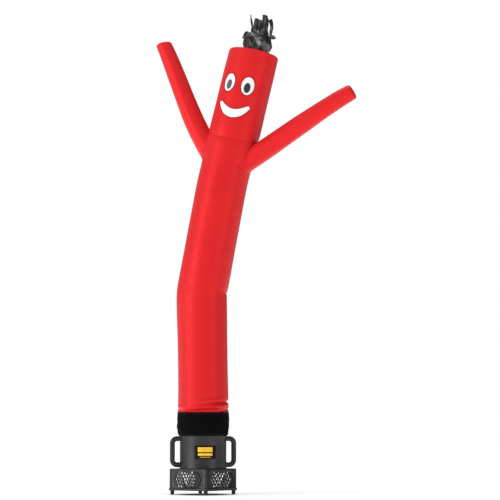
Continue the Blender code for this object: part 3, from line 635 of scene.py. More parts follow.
# ---- The tube's middle line and surface ----
def lean_at(up):
    lean = np.zeros_like(up)
    for bend in BENDS:
        share = np.clip((up - bend["at"]) / bend["length"] + 0.5, 0, 1)
        share = share * share * (3 - 2 * share)
        lean = lean + (bend["lean"] - lean) * share
    return np.radians(lean)


LINE_STEP = 0.002
LINE_UP = np.arange(0, 1060) * LINE_STEP
LINE_LEANS = lean_at(LINE_UP[:-1] + LINE_STEP / 2)
LINE_X = np.concatenate([[0], np.cumsum(np.sin(LINE_LEANS))]) * LINE_STEP
LINE_Z = np.concatenate([[0], np.cumsum(np.cos(LINE_LEANS))]) * LINE_STEP + CUFF_FOOT


def middle_at(up):
    x = np.interp(up, LINE_UP, LINE_X)
    return np.stack([x, np.zeros_like(x), np.interp(up, LINE_UP, LINE_Z)], axis=-1)


def tube_axes(up):
    """The ways along the tube and to its right."""
    lean = lean_at(up)
    zero = np.zeros_like(lean)
    along = np.stack([np.sin(lean), zero, np.cos(lean)], axis=-1)
    right = np.stack([np.cos(lean), zero, -np.sin(lean)], axis=-1)
    return along, right


def outward(right, angle):
    return right * np.sin(angle)[..., None] - BACK * np.cos(angle)[..., None]


def fold_depth(angle, up, folds):
    depth = np.zeros(np.broadcast(angle, up).shape)
    for fold in folds:
        first, last = math.radians(fold["turn_from"]), math.radians(fold["turn_to"])
        share = turn_between(angle, (first + last) / 2) / (last - first) + 0.5
        line = fold["up_from"] + (fold["up_to"] - fold["up_from"]) * share
        ends = np.sin(np.pi * np.clip(share, 0, 1)) ** 0.5
        depth = depth + fold["depth"] * ends * bell(up - line, fold["width"])
    return depth


def seam_at(angle):
    return SEAM - SEAM_DIP * np.cos(angle) + SEAM_RISE * np.sin(angle)


def tube_radius(angle, up):
    across = np.sin(angle - SHOULDER_TURN) ** 2
    from_seam = up - seam_at(angle)
    radius = between(GIRTHS, up) + SHOULDER_SWELL * across * bell(up - SEAM, 0.10)
    radius = radius - SEAM_PINCH * np.exp(-np.abs(from_seam) / 0.014) ** 0.9
    side = bell(turn_between(angle, math.pi / 2), math.radians(55))
    radius = radius - KINK_PINCH * side * bell(up - KINK, 0.018)
    radius = radius - fold_depth(angle, up, FOLDS) - fold_depth(angle, up, DENTS)
    radius = radius + 0.0008 * puckers(angle, from_seam, 11, 0.014, 46)
    radius = radius + 0.0011 * puckers(angle, up - TORSO_FOOT - 0.02, 12, 0.040, 30)
    return radius + 0.0007 * waves(place_round(angle, 0.12, 0.45 * up), 0.17, 13)


def on_tube(angle, up, lift=0.0):
    angle, up = np.broadcast_arrays(angle, up)
    out = outward(tube_axes(up)[1], angle)
    return middle_at(up) + out * (tube_radius(angle, up) + lift)[..., None]


def to_world(points):
    """From the dancer's own frame."""
    turn, back = math.cos(DANCER_TURN), math.sin(DANCER_TURN)
    x = points[..., 0] * turn - points[..., 1] * back + BLOWER_AT.x
    y = points[..., 0] * back + points[..., 1] * turn + BLOWER_AT.y
    return np.stack([x, y, points[..., 2]], axis=-1)


# ---- Red cloth of the tube ----
def sew_tube(name, material, node, up, slant=0.0, lift=0.0):
    """A length of the tube, with its rows at levels up the middle line."""
    points = on_tube(round_angles(TUBE_COLUMNS), up + slant, lift)
    flat = flat_tube(TURN * TUBE_RADIUS, up[:, 0], TUBE_COLUMNS)
    return sew(name, points, flat, material, node)


def make_torso(material):
    seam = seam_at(round_angles(TUBE_COLUMNS))
    near_seam = np.linspace(-0.030, 0.0, 12)[:, None] + seam - 0.0002
    up = np.concatenate([level_rows(TORSO_ROWS, TUBE_COLUMNS), near_seam])
    piece = sew_tube("torso_cloth", material, "torso_tube", up)


def make_head(material):
    angle = round_angles(TUBE_COLUMNS)
    near_seam = np.linspace(-0.0016, 0.030, 13)[:, None] + seam_at(angle)
    up = np.concatenate([near_seam, level_rows(HEAD_ROWS, TUBE_COLUMNS)])
    rounding = np.clip((up - HEAD_TOP + RIM_ROUND) / RIM_ROUND, 0, 1) ** 2
    drawn_in = -RIM_ROUND * rounding * RIM_DRAW
    slant = TOP_SLANT * np.sin(angle) * (up - SEAM) / (HEAD_TOP - SEAM)
    gathers = 0.0006 * puckers(angle, up - HEAD_TOP, 21, 0.012, 52)
    lap = 0.0012 * np.clip(1 - (up - seam_at(angle)) / 0.004, 0, 1)
    lift = drawn_in + gathers + lap
    piece = sew_tube("head_cloth", material, "head_tube", up, slant, lift)


def crown_point(angle, radius, lift=0.0):
    """A point of the head's top panel."""
    level = np.full(np.shape(angle), HEAD_TOP)
    along, right = tube_axes(level)
    rise = CROWN * (1 - (radius / RIM_RADIUS) ** 2) + CLOTH + lift
    rise = rise + TOP_SLANT * np.sin(angle) * radius / RIM_RADIUS
    place = np.stack([radius * np.sin(angle), radius * np.cos(angle)], axis=-1)
    rise = rise + 0.0012 * waves(place, 0.075, 31) * np.clip(1 - radius / RIM_RADIUS, 0, 1)
    rise = rise + 0.0011 * puckers(angle, RIM_RADIUS - radius, 32, 0.022, 40)
    return middle_at(level) + outward(right, angle) * radius[..., None] + along * rise[..., None]


def make_head_top(material):
    rim = RIM_RADIUS - RIM_DRAW * RIM_ROUND
    radius = np.concatenate([rim * np.linspace(1, 0.05, 30), [0.001]])[:, None]
    angle, radius = np.broadcast_arrays(round_angles(TUBE_COLUMNS), radius)
    flat = flat_disc(radius * np.sin(angle), radius * np.cos(angle))
    points = crown_point(angle, radius)
    piece = sew("head_top_cloth", points, flat, material, "head_top")


# ---- Sleeves ----
def arm_line(arm):
    """Lengths along an arm's middle line, and the points, ways along and ways across there."""
    outwards = np.array([math.cos(SHOULDER_TURN), math.sin(SHOULDER_TURN), 0]) * arm["side"]
    upwards = np.array([0, 0, 1.0])
    lengths = np.arange(0, arm["length"] + 0.03, LINE_STEP)
    share = np.clip((lengths + LINE_STEP / 2) / arm["length"], 0, 1.02)
    root, middle, tip = (math.radians(value) for value in arm["lean"])
    early, late = (1 - share).clip(0) ** 3, share ** arm["late"]
    lean = root * early + tip * late + middle * (1 - early - late)
    along = np.sin(lean)[:, None] * outwards + np.cos(lean)[:, None] * upwards
    across = np.cos(lean)[:, None] * outwards - np.sin(lean)[:, None] * upwards
    walked = np.concatenate([[[0, 0, 0]], np.cumsum(along[:-1], axis=0)]) * LINE_STEP
    return lengths, middle_at(np.array(arm["from"])) + walked, along, across


def root_flare(angle):
    """How far a sleeve's root spreads out on the torso: most at its front and back."""
    lower = np.cos(angle)
    return FLARE * (0.75 + 0.25 * lower - 0.55 * lower**2)


def arm_radius(arm, length, angle, root):
    share = length / arm["length"]
    seed = 40 + arm["side"]
    radius = ARM_ROOT_RADIUS + (ARM_TIP_RADIUS - ARM_ROOT_RADIUS) * share
    radius = radius + arm["bulge"] * np.sin(np.pi * np.clip(share, 0, 1) ** 2)
    # drawn out to the torso's seam
    radius = radius + root_flare(angle) * np.clip(1 - (length - root) / FLARE_REACH, 0, 1) ** 2
    radius = radius + 0.0009 * puckers(angle, length - root, seed, 0.020, 17)
    radius = radius + 0.0007 * puckers(angle, arm["length"] - length, seed + 5, 0.016, 20)
    return radius + 0.0006 * waves(place_round(angle, 0.05, 0.4 * length), 0.09, seed + 9)


def arm_points(arm, length, angle, root, lift=0.0, narrow=1.0):
    lengths, points, along, across = arm["line"]
    length, angle, root = np.broadcast_arrays(length, angle, root)
    slanted = np.clip(length / arm["length"] - 0.6, 0, None) / 0.4
    length = length + arm["slant"] * np.cos(angle) * slanted * narrow
    side = sample(length, lengths, across)
    back = np.cross(sample(length, lengths, along), side)
    radius = (arm_radius(arm, length, angle, root) + lift) * narrow
    offset = side * np.cos(angle)[..., None] + back * np.sin(angle)[..., None]
    return sample(length, lengths, points) + offset * radius[..., None]


def depth_in_tube(points):
    """How far points of the dancer's frame lie inside the tube's surface."""
    flat = points.reshape(-1, 3)
    up = np.empty(len(flat))
    for first in range(0, len(flat), 4000):
        part = flat[first : first + 4000]
        dx = part[:, 0, None] - LINE_X
        dz = part[:, 2, None] - LINE_Z
        up[first : first + 4000] = LINE_UP[np.argmin(dx * dx + dz * dz, axis=1)]
    offset = flat - middle_at(up)
    sideways = np.sum(offset * tube_axes(up)[1], axis=1)
    angle = np.arctan2(sideways, -offset[:, 1])
    depth = tube_radius(angle, up) - np.hypot(sideways, offset[:, 1])
    return depth.reshape(points.shape[:-1])


def arm_roots(arm, angle):
    """Where the sleeve comes out of the tube, for each angle round the sleeve."""
    tries = np.linspace(0.03, 0.30, 136)[:, None]
    inside = depth_in_tube(arm_points(arm, tries, angle, -1.0, root_flare(angle))) > 0
    root = tries[len(tries) - 1 - np.argmax(inside[::-1], axis=0), 0]
    return (np.roll(root, 1) + 2 * root + np.roll(root, -1)) / 4


def make_arm(arm, material):
    """A sleeve. Its middle line and its root's lengths are kept for the stitches."""
    arm["line"] = arm_line(arm)
    angle = round_angles(ARM_COLUMNS)
    arm["root"] = root = arm_roots(arm, angle)
    tip = arm["length"]
    share = [np.linspace(0, 0.16, 26), np.linspace(0.16, 0.94, 60)[1:]]
    share = np.concatenate([*share, np.linspace(0.94, 1, 10)[1:]])[:, None]
    length = (root - 0.003) + share * (tip - 0.012 - root + 0.003)
    back, small = np.array(ARM_END).T[:, :, None]
    length = np.concatenate([length, np.broadcast_to(tip - back, (len(back), ARM_COLUMNS))])
    narrow = np.concatenate([np.ones_like(share), small])
    points = arm_points(arm, length, angle, root, 0.0, narrow)
    flat = flat_tube(TURN * ARM_ROOT_RADIUS, length[:, 0], ARM_COLUMNS)
    piece = sew(arm["name"] + "_cloth", points, flat, material, arm["name"])


# ---- Stitches ----
STITCH_SIDES = 5
# Along one stitch: the share of its length, of its thickness, and how far it is lifted.
STITCH_SHAPE = np.array([(0.0, 0.25, 0.0), (0.2, 1.0, 1.0), (0.8, 1.0, 1.0), (1.0, 0.25, 0.0)])


def stitch_rows(name, lines, material, length=0.0032, gap=0.0016, thick=0.00045):
    """Rows of thread stitches along lines of (points, the cloth's outward ways there)."""
    share, width, lift = STITCH_SHAPE.T
    turn = round_angles(STITCH_SIDES)[:, None]
    stitches = []
    for points, outs in lines:
        run = np.concatenate([[0], np.cumsum(np.linalg.norm(np.diff(points, axis=0), axis=1))])
        count = int(run[-1] / (length + gap))
        here = np.arange(count)[:, None] * run[-1] / count + share * length
        point, out = sample(here, run, points), sample(here, run, outs)
        way = sample(here + 0.001, run, points) - point
        side = np.cross(way / np.linalg.norm(way, axis=-1)[..., None], out)
        centre = point + out * (lift - 0.35)[:, None] * thick
        offset = side[:, :, None] * np.cos(turn) + out[:, :, None] * np.sin(turn)
        stitches.append(centre[:, :, None] + offset * thick * width[:, None, None])
    verts = np.concatenate(stitches)
    rings = np.arange(len(share) * STITCH_SIDES).reshape(len(share), STITCH_SIDES)
    faces = []
    for first, second in zip(rings, rings[1:]):
        faces += zip(first, np.roll(first, -1), np.roll(second, -1), second)
    faces += [rings[0][::-1], rings[-1]]
    all_faces = [[int(corner) + number * rings.size for corner in face]
                 for number in range(len(verts)) for face in faces]
    mesh = bpy.data.meshes.new(name)
    mesh.from_pydata(verts.reshape(-1, 3).tolist(), [], all_faces)
    show(name, mesh, material)


def seam_line(place, lift):
    """A line that place() lays at a lift over the cloth, and the cloth's outward ways along it."""
    line = to_world(place(lift))
    outs = to_world(place(lift + 0.01)) - line
    return line, outs / np.linalg.norm(outs, axis=1)[:, None]


def stitch_the_tube(material):
    around = np.linspace(0, TURN, SEAM_POINTS)
    neck = [seam_line(lambda lift, up=up: on_tube(around, seam_at(around) + up, lift), 0.0003)
            for up in (-0.006, 0.006)]
    stitch_rows("neck_stitches", neck, material)
    below_rim = HEAD_TOP - 0.009 + TOP_SLANT * np.sin(around)
    rim = [seam_line(lambda lift: on_tube(around, below_rim, lift), 0.0003)]
    stitch_rows("rim_stitches", rim, material)
    around = np.linspace(0, TURN, 240)
    for arm in ARMS:
        root = np.append(arm["root"], arm["root"][0])
        root = np.interp(around, np.linspace(0, TURN, ARM_COLUMNS + 1), root)
        line = seam_line(lambda lift: arm_points(arm, root + 0.007, around, root, lift), 0.0002)
        stitch_rows(arm["name"] + "_stitches", [line], material)


# ---- Face ----
def patch_place(turn, up, across, above, lift):
    return on_tube(math.radians(turn) + across / HEAD_RADIUS, SEAM + up + above, lift)


def patch_line(turn, up, across, above, rise):
    return seam_line(lambda lift: patch_place(turn, up, across, above, lift), rise)


def make_oval(patch, lift, material):
    """An oval patch. Gives back the lines of its stitches and of its border."""
    wide, high = patch["half"]
    angle = round_angles(OVAL_COLUMNS)
    level, drop = np.array(OVAL_LEVELS).T[:, :, None]
    across, above = wide * level * np.cos(angle), high * level * np.sin(angle)
    points = patch_place(patch["turn"], patch["up"], across, above, lift + 0.0014 + drop)
    flat = flat_disc(across, above)
    piece = sew(patch["name"] + "_patch", points, flat, material, patch["name"], PATCH)
    edge = np.linspace(0, TURN, 200)

    def around(inset, rise):
        across, above = (wide - inset) * np.cos(edge), (high - inset) * np.sin(edge)
        return patch_line(patch["turn"], patch["up"], across, above, rise)

    # its border is a dark maroon line just outside its edge: partly its hem, partly painted shade
    return around(0.0018, lift + 0.0015), around(-0.0008, lift + 0.0001)


def on_mouth(along, level):
    """(across, above) on the mouth: along it from -1 to 1, and level from -1 to 1 over it."""
    in_cap = np.clip(np.abs(along) - MOUTH_CAP, 0, None) / (1 - MOUTH_CAP)
    half = (MOUTH_END + (MOUTH_HEIGHT - MOUTH_END) * (1 - along**2)) / 2
    half = half * np.sqrt(np.clip(1 - in_cap**2, 0, 1))
    steep = 2 * MOUTH_SAG * along / MOUTH_HALF
    across = MOUTH_HALF * along - half * level * steep / np.hypot(steep, 1)
    above = -MOUTH_SAG * (1 - along**2) + half * level / np.hypot(steep, 1)
    turn, rise = math.cos(MOUTH_TILT), math.sin(MOUTH_TILT)
    return across * turn - above * rise, across * rise + above * turn


def make_mouth(material):
    """The crescent patch. Gives back the lines of its stitches and of its border."""
    # closer together towards its ends, and just short of them
    along = -np.cos(np.linspace(0.0, math.pi, MOUTH_COLUMNS)) * 0.9999
    level, drop = np.array(MOUTH_LEVELS).T[:, :, None]
    along, level, drop = np.broadcast_arrays(along, level, drop)
    across, above = on_mouth(along, level)
    points = patch_place(MOUTH_TURN, MOUTH_UP, across, above, 0.0020 + drop)
    flat = np.stack([across, above], axis=-1)
    piece = sew("mouth_patch", points, flat, material, "mouth", PATCH, False)

    def around(end, level, rise):
        there = -np.cos(np.linspace(end, math.pi - end, MOUTH_EDGE_POINTS))
        shares = np.concatenate([there, there[::-1], there[:1]])
        sides = np.repeat([-level, level], MOUTH_EDGE_POINTS)
        sides = np.append(sides, -level)
        return patch_line(MOUTH_TURN, MOUTH_UP, *on_mouth(shares, sides), rise)

    # its border is a dark maroon line just outside its edge: partly its hem, partly painted shade
    return around(0.05, 0.88, 0.0021), around(0.005, 1.05, 0.0007)


def make_face(look):
    whites = [make_oval(eye, 0.0006, look["white_patch_cloth"]) for eye in EYES]
    whites.append(make_mouth(look["white_patch_cloth"]))
    # painted sheen: the left pupil gets a paler copy of the dark cloth, the right one the dark
    # cloth
    darks = [look["paler_patch_cloth"], look["dark_patch_cloth"]]
    darks = [make_oval(pupil, 0.0022, dark) for pupil, dark in zip(PUPILS, darks)]
    inner, borders = zip(*whites)
    inner_dark = [line for line, _ in darks]
    for name, lines, thread, slot, length, gap, thick in (
        ("white_patch_stitches", inner, "white_thread", "white_patch", 0.0024, 0.0010, 0.0003),
        # dense maroon beads round the white patches: partly their hems, partly painted shade at
        # their edges
        ("patch_hem_and_shade_borders", borders, "maroon_thread", "red_cloth", 0.0030, 0.0002, 0.0017),
        ("dark_patch_stitches", inner_dark, "black_thread", "dark_patch", 0.0022, 0.0010, 0.0003),
    ):
        stitch_rows(name, lines, look[thread], length, gap, thick)


# ---- Cuff ----
def make_cuff(material, thread):
    angle = round_angles(CUFF_COLUMNS)
    up = level_rows(CUFF_ROWS, CUFF_COLUMNS)
    inside = np.sin(np.pi * np.clip(up / CUFF_HEIGHT, 0, 1)) ** 0.7
    place = place_round(angle, 0.12, 1.6 * up)
    radius = between(CUFF_PROFILE, up) + 0.0009 * waves(place, 0.06, 51) * inside
    radius = radius - 0.0012 * ridge_noise(place, 0.10, 52) * inside
    radius = radius + 0.0008 * puckers(angle, up, 53, 0.014, 38) * inside**0.2
    out = outward(tube_axes(up)[1], angle)
    points = middle_at(up) + out * radius[..., None]
    flat = flat_tube(TURN * CUFF_RADIUS, up[:, 0], CUFF_COLUMNS)
    piece = sew("cuff_cloth", points, flat, material, "cuff", CUFF_CLOTH)
    around = np.linspace(0, TURN, SEAM_POINTS)
    lines = []
    for height in (0.008, CUFF_HEIGHT - 0.008):
        level = np.full(SEAM_POINTS, height)
        out = outward(tube_axes(level)[1], around)
        size = between(CUFF_PROFILE, height)
        lines.append(seam_line(lambda lift: middle_at(level) + out * (size + lift), 0.0002))
    stitch_rows("cuff_stitches", lines, thread)


# ---- Hair ----
def hair_ways(place):
    """The angle and the ways along, out and sideways at places on the band, in strips."""
    angle = HAIR_START + place * STRIP_TURN
    along, right = tube_axes(np.full(np.shape(angle), HEAD_TOP))
    out = outward(right, angle)
    return angle, along, out, np.cross(along, out)


def band_point(place, height):
    """A point of the rolled band, which is sewn on the head's top."""
    place, height = np.broadcast_arrays(np.asarray(place, float), np.asarray(height, float))
    angle, along, out, _ = hair_ways(place)
    share = height / HAIR_BAND
    turned_in = np.clip(place * STRIP_TURN / TURN * 3 - 2, 0, 1)
    radius = HAIR_RADIUS - HAIR_ROLL * turned_in
    sideways = radius * np.sin(angle) + HAIR_SHIFT
    forwards = radius * np.cos(angle)
    foot = crown_point(np.arctan2(sideways, forwards), np.hypot(sideways, forwards), 0.0015)
    bulge = HAIR_BULGE * np.sin(np.pi * share) - HAIR_WAIST * share
    bulge = bulge + HAIR_RUFFLE * share * np.sin(HAIR_RUFFLES * angle)
    return foot + out * bulge[..., None] + along * height[..., None]


def strip_points(number, side, share):
    """Points of one strip: side from -1 to 1 across it, share from 0 to 1 up it."""
    strip = STRIPS[number]
    _, along, out, sideways = hair_ways(np.array(number + 0.5))
    ends = band_point(np.array([number, number + 1.0]), 0.0)
    width = np.linalg.norm(ends[1] - ends[0]) * (1 - HAIR_SLIT)
    first, last = (math.radians(value) for value in strip["lean"])
    sway = math.radians(strip["sway"])
    steps = np.linspace(0, 1, STRIP_STEPS)
    lean = first + (last - first) * (steps[:-1] + steps[1:]) / 2
    moves = (np.cos(lean)[:, None] * along + np.sin(lean)[:, None] * out) * math.cos(sway)
    moves = (moves + sideways * math.sin(sway)) * strip["length"] / (STRIP_STEPS - 1)
    line = np.concatenate([[[0, 0, 0]], np.cumsum(moves, axis=0)])
    middle = sample(share, steps, line + band_point(number + 0.5, HAIR_BAND))
    lean = first + (last - first) * share
    face = np.cos(lean)[..., None] * out - np.sin(lean)[..., None] * along
    cup = STRIP_CUP * (1 - np.abs(side)) * np.minimum(1.0, 3 * share)
    wide = side * width / 2 * (1 - (1 - strip["tip"]) * share)
    twist = (math.radians(strip["twist"]) * np.minimum(1.0, 2.5 * share))[..., None]
    edgewise = sideways * np.cos(twist) + face * np.sin(twist)
    return middle + edgewise * wide[..., None] + face * cup[..., None], face


def crumpled_strip(number, shares, root, shift):
    """A strip's points, uneven in a way of its own, from the row of points at its root."""
    side, share = np.broadcast_arrays(np.linspace(-1, 1, STRIP_COLUMNS), shares)
    points, face = strip_points(number, side, share)
    start, _ = strip_points(number, side[0], np.zeros(STRIP_COLUMNS))
    settle = (root - start) * np.clip(1 - share / 0.18, 0, 1)[..., None]
    moved = points + shift
    ripple = waves(moved, 0.070, 64) * 0.0022 + ridge_noise(moved, 0.080, 65) * 0.0024
    curl = np.sin(share * 3.1 + shift[0] * 3) * side * 0.0022
    points = points + settle + face * ((ripple + curl) * np.clip(share * 5, 0, 1))[..., None]
    edge = 0.0008 * waves(points[:, [0, -1]] + shift, 0.03, 66)
    points[:, [0, -1]] += hair_ways(np.array(number + 0.5))[3] * edge[..., None]
    return points


def make_hair(material):
    draw = np.random.default_rng(61)
    # the band has columns where its strips do, with a slit between one strip and the next
    middles = np.arange(len(STRIPS))[:, None] + 0.5
    places = (middles + np.linspace(-1, 1, STRIP_COLUMNS) * (1 - HAIR_SLIT) / 2).reshape(-1)
    heights = np.linspace(0, HAIR_BAND, BAND_ROWS + 1)[:, None]
    band = band_point(places, heights)
    crumpled = ridge_noise(band, 0.066, 67) * 0.0065 + waves(band, 0.030, 63) * 0.0008
    crumpled = crumpled * np.clip(heights / 0.045, 0.1, 1)  # held by the seam at its foot
    band = band + hair_ways(places)[2] * crumpled[..., None]
    shares = np.linspace(0, 1, STRIP_ROWS + 1)[1:, None]
    strips = []
    for number in range(len(STRIPS)):
        root = band[-1, number * STRIP_COLUMNS : (number + 1) * STRIP_COLUMNS]
        strips.append(crumpled_strip(number, shares, root, draw.uniform(-1, 1, 3)))
    points = np.concatenate([band, np.concatenate(strips, axis=1)])
    ups = np.concatenate([heights, HAIR_BAND + shares * 0.09])
    flat = np.stack(np.broadcast_arrays(places * STRIP_TURN * HAIR_RADIUS, ups), axis=-1)

    def slit(row, column):
        return (row >= BAND_ROWS) & (column % STRIP_COLUMNS == STRIP_COLUMNS - 1)

    piece = sew("hair_strips", points, flat, material, "hair", HAIR_CLOTH, False,
                slit)


# ---- Blower ----
def make_housing(material):
    inner = BODY_RADIUS - BODY_WALL
    band_top = NECK_TOP - TOP_FLANGE_HEIGHT
    band_bottom = BODY_TOP + LOW_FLANGE_HEIGHT
    foot = DECK_HEIGHT + 0.0002
    corners = [
        (inner, foot), (inner, NECK_TOP), (TOP_FLANGE_RADIUS, NECK_TOP),
        (TOP_FLANGE_RADIUS, band_top), (BAND_RADIUS, band_top), (BAND_RADIUS, band_bottom),
        (LOW_FLANGE_RADIUS, band_bottom), (LOW_FLANGE_RADIUS, BODY_TOP), (BODY_RADIUS, BODY_TOP),
        (BODY_RADIUS, foot + 0.0022), (BODY_RADIUS + 0.0016, foot),
    ]
    profile = rounded(corners, 0.0011)
    mesh = lathe("blower_housing", profile + profile[:1], 160)
    mend(mesh)
    show("blower_housing", mesh, material, ["blower_body"], 50)


def square_loop(half, corner, steps):
    """A rounded square whose corners point along X and Y, from the right corner."""
    middle = (half - corner) * math.sqrt(2)

    def on_corner(facing, angle):
        ways = np.array([(math.cos(turn), math.sin(turn)) for turn in (facing, angle)])
        return ways[0] * middle + corner * ways[1]

    points = []
    for side in range(4):
        facing = side * math.pi / 2
        for step in range(steps + 1):
            points.append(on_corner(facing, facing + math.radians(-45 + 90 * step / steps)))
        first = points[-1]
        last = on_corner(facing + math.pi / 2, facing + math.pi / 4)
        points += [first + (last - first) * share for share in np.linspace(0, 1, 9)[1:-1]]
    return np.array(points)


def base_levels():
    """(height, half its width, how far the loop has become the deck's round hole)"""
    lip_top = BASE_BOTTOM + LIP_HEIGHT
    wide = BASE_HALF + LIP_OUT
    inner = BASE_HALF - BASE_WALL
    under_deck = DECK_HEIGHT - BASE_WALL
    levels = [
        (BASE_BOTTOM, wide - BASE_SOFT, 0.0), (BASE_BOTTOM + BASE_SOFT, wide, 0.0),
        (lip_top - BASE_SOFT, wide, 0.0), (lip_top, wide - BASE_SOFT, 0.0),
        (lip_top + 0.0002, BASE_HALF + BASE_SOFT, 0.0), (lip_top + BASE_SOFT, BASE_HALF, 0.0),
    ]
    for step in range(6):
        angle = step / 5 * math.pi / 2
        rise, draw = BASE_ROUND * (math.sin(angle) - 1), BASE_ROUND * (1 - math.cos(angle))
        levels.append((DECK_HEIGHT + rise, BASE_HALF - draw, 0.0))
    levels += [
        (DECK_HEIGHT, BASE_HALF, 0.5), (DECK_HEIGHT, BASE_HALF, 1.0),
        (under_deck, BASE_HALF, 1.0), (under_deck, inner - 0.001, 0.0),
        (under_deck - 0.001, inner, 0.0), (BASE_BOTTOM, inner, 0.0),
    ]
    return levels


def make_base(material):
    rows = []
    for height, half, to_circle in base_levels():
        loop = square_loop(half, BASE_CORNER + half - BASE_HALF, 8)
        circle = loop / np.linalg.norm(loop, axis=1)[:, None] * DECK_HOLE_RADIUS
        loop = loop + (circle - loop) * to_circle
        rows.append(np.column_stack([loop, np.full(len(loop), height)]))
    mesh = grid("blower_base_shell", np.array(rows + rows[:1]) + np.array(BLOWER_AT))
    mend(mesh)
    piece = show("blower_base_shell", mesh, material, ["blower_base"], 40)
    tools = [("UNION", boss(number)) for number in range(4)]
    tools += [("DIFFERENCE", vent(number)) for number in range(2)]
    for operation, tool in tools:
        made = piece.modifiers.new("tool", "BOOLEAN")
        made.operation, made.object, made.solver = operation, tool, "EXACT"
    apply_modifiers(piece)
    soften = piece.modifiers.new("soften", "BEVEL")
    soften.width, soften.segments = 0.0007, 2
    soften.limit_method, soften.angle_limit = "ANGLE", math.radians(50)
    soften.use_clamp_overlap = True
    apply_modifiers(piece)
    piece.data.shade_smooth()
    piece.data.set_sharp_from_angle(angle=math.radians(40))
    for _, tool in tools:
        bpy.data.objects.remove(tool)


def drum(segments, low, high, depth, matrix, long=0.0):
    """A round piece on Z, drawn out along X by a length."""
    mesh = bmesh.new()
    bmesh.ops.create_cone(mesh, cap_ends=True, segments=segments, radius1=low, radius2=high,
                          depth=depth, matrix=matrix)
    for vert in mesh.verts:
        vert.co.x += math.copysign(long / 2, vert.co.x)
    return mesh


def tool_from(name, mesh):
    data = bpy.data.meshes.new(name)
    mesh.to_mesh(data)
    mesh.free()
    return add_object(name, data)


def boss(number):
    """What a foot is screwed to, in a corner of the base, with its upper edge sloped."""
    angle = number * math.pi / 2
    middle = BLOWER_AT + Vector((math.cos(angle), math.sin(angle), 0)) * FOOT_AT
    middle.z = BASE_BOTTOM + BOSS_HEIGHT / 2
    return tool_from("boss", drum(40, BOSS_RADIUS, BOSS_RADIUS - 0.0003, BOSS_HEIGHT,
                                  Matrix.Translation(middle)))


def vent(number):
    """A long round-ended tool that cuts two facing vents."""
    sides, through = 72, 0.5
    half_step = Matrix.Rotation(math.pi / sides, 4, "Z")
    mesh = drum(sides, VENT_HEIGHT / 2, VENT_HEIGHT / 2, through, half_step,
                VENT_LENGTH - VENT_HEIGHT)
    bmesh.ops.rotate(mesh, verts=mesh.verts, matrix=Matrix.Rotation(math.pi / 2, 3, "X"))
    made = tool_from("vent", mesh)
    made.location = BLOWER_AT + Vector((0, 0, VENT_AT))
    made.rotation_euler = (0, 0, math.radians(45 + 90 * number))
    return made


def grille_mesh():
    """An expanded lozenge mesh in a vent's shape, its strands rounded, from a filled curve."""
    curve = bpy.data.curves.new("grille", "CURVE")
    curve.dimensions = "2D"
    curve.fill_mode = "BOTH"
    curve.extrude = 0.0008
    curve.bevel_depth = 0.0005
    curve.bevel_resolution = 1
    radius = VENT_HEIGHT / 2 - 0.0012
    straight = (VENT_LENGTH - VENT_HEIGHT) / 2
    outline = []
    for number in range(60):
        angle = (number + 0.5) * TURN / 60
        x = radius * math.cos(angle)
        outline.append((x + math.copysign(straight, x), radius * math.sin(angle)))
    add_loop(curve, outline)
    wide = (MESH_WIDE - MESH_STRAND * 1.13) / 2 - 0.0003
    high = wide * (MESH_HIGH / MESH_WIDE)
    for row in range(-6, 7):
        for number in range(-15, 16):
            if (row + number) % 2:
                continue
            x, y = number * MESH_WIDE / 2, row * MESH_HIGH / 2
            lozenge = [(x + wide, y), (x, y + high), (x - wide, y), (x, y - high)]
            loop = clipped(lozenge, straight, radius - 0.0022)
            if loop:
                add_loop(curve, loop)
    thing = add_object("grille", curve)
    graph = bpy.context.evaluated_depsgraph_get()
    mesh = bpy.data.meshes.new_from_object(thing.evaluated_get(graph))
    bpy.data.objects.remove(thing)
    bpy.data.curves.remove(curve)
    mend(mesh)
    return mesh


def clipped(loop, straight, reach):
    """The part of a convex loop inside a vent's shape, or nothing if little is left of it."""
    sides = 40
    for number in range(sides):
        angle = (number + 0.5) * TURN / sides
        way = (math.cos(angle), math.sin(angle))
        limit = reach + straight * abs(way[0])
        kept = []
        for here, after in zip(loop, loop[1:] + loop[:1]):
            first = limit - here[0] * way[0] - here[1] * way[1]
            second = limit - after[0] * way[0] - after[1] * way[1]
            if first >= 0:
                kept.append(here)
            if first * second < 0:
                kept.append(partway(here, after, first / (first - second)))
        loop = kept
        if len(loop) < 3:
            return None
    area = sum(a[0] * b[1] - a[1] * b[0] for a, b in zip(loop, loop[1:] + loop[:1])) / 2
    return loop if area >= 1.2e-5 else None


def partway(here, after, share):
    return tuple(a + (b - a) * share for a, b in zip(here, after))


def add_loop(curve, points):
    spline = curve.splines.new("POLY")
    spline.points.add(len(points) - 1)
    for point, (x, y) in zip(spline.points, points):
        point.co = (x, y, 0, 1)
    spline.use_cyclic_u = True


def make_grilles(material):
    shape = grille_mesh()
    reach = BASE_HALF - 0.0024
    for number, name in enumerate(("front_right", "back_right", "back_left", "front_left")):
        facing = math.radians(-45 + 90 * number)
        place = BLOWER_AT + Vector((reach * math.cos(facing), reach * math.sin(facing), VENT_AT))
        upright = Matrix.Rotation(math.pi / 2, 4, "X")
        turned = Matrix.Rotation(facing + math.pi / 2, 4, "Z") @ upright
        mesh = shape.copy()
        mesh.transform(Matrix.Translation(place) @ turned)
        show("mesh_" + name, mesh, material, ["grille_" + name], 50)
    bpy.data.meshes.remove(shape)


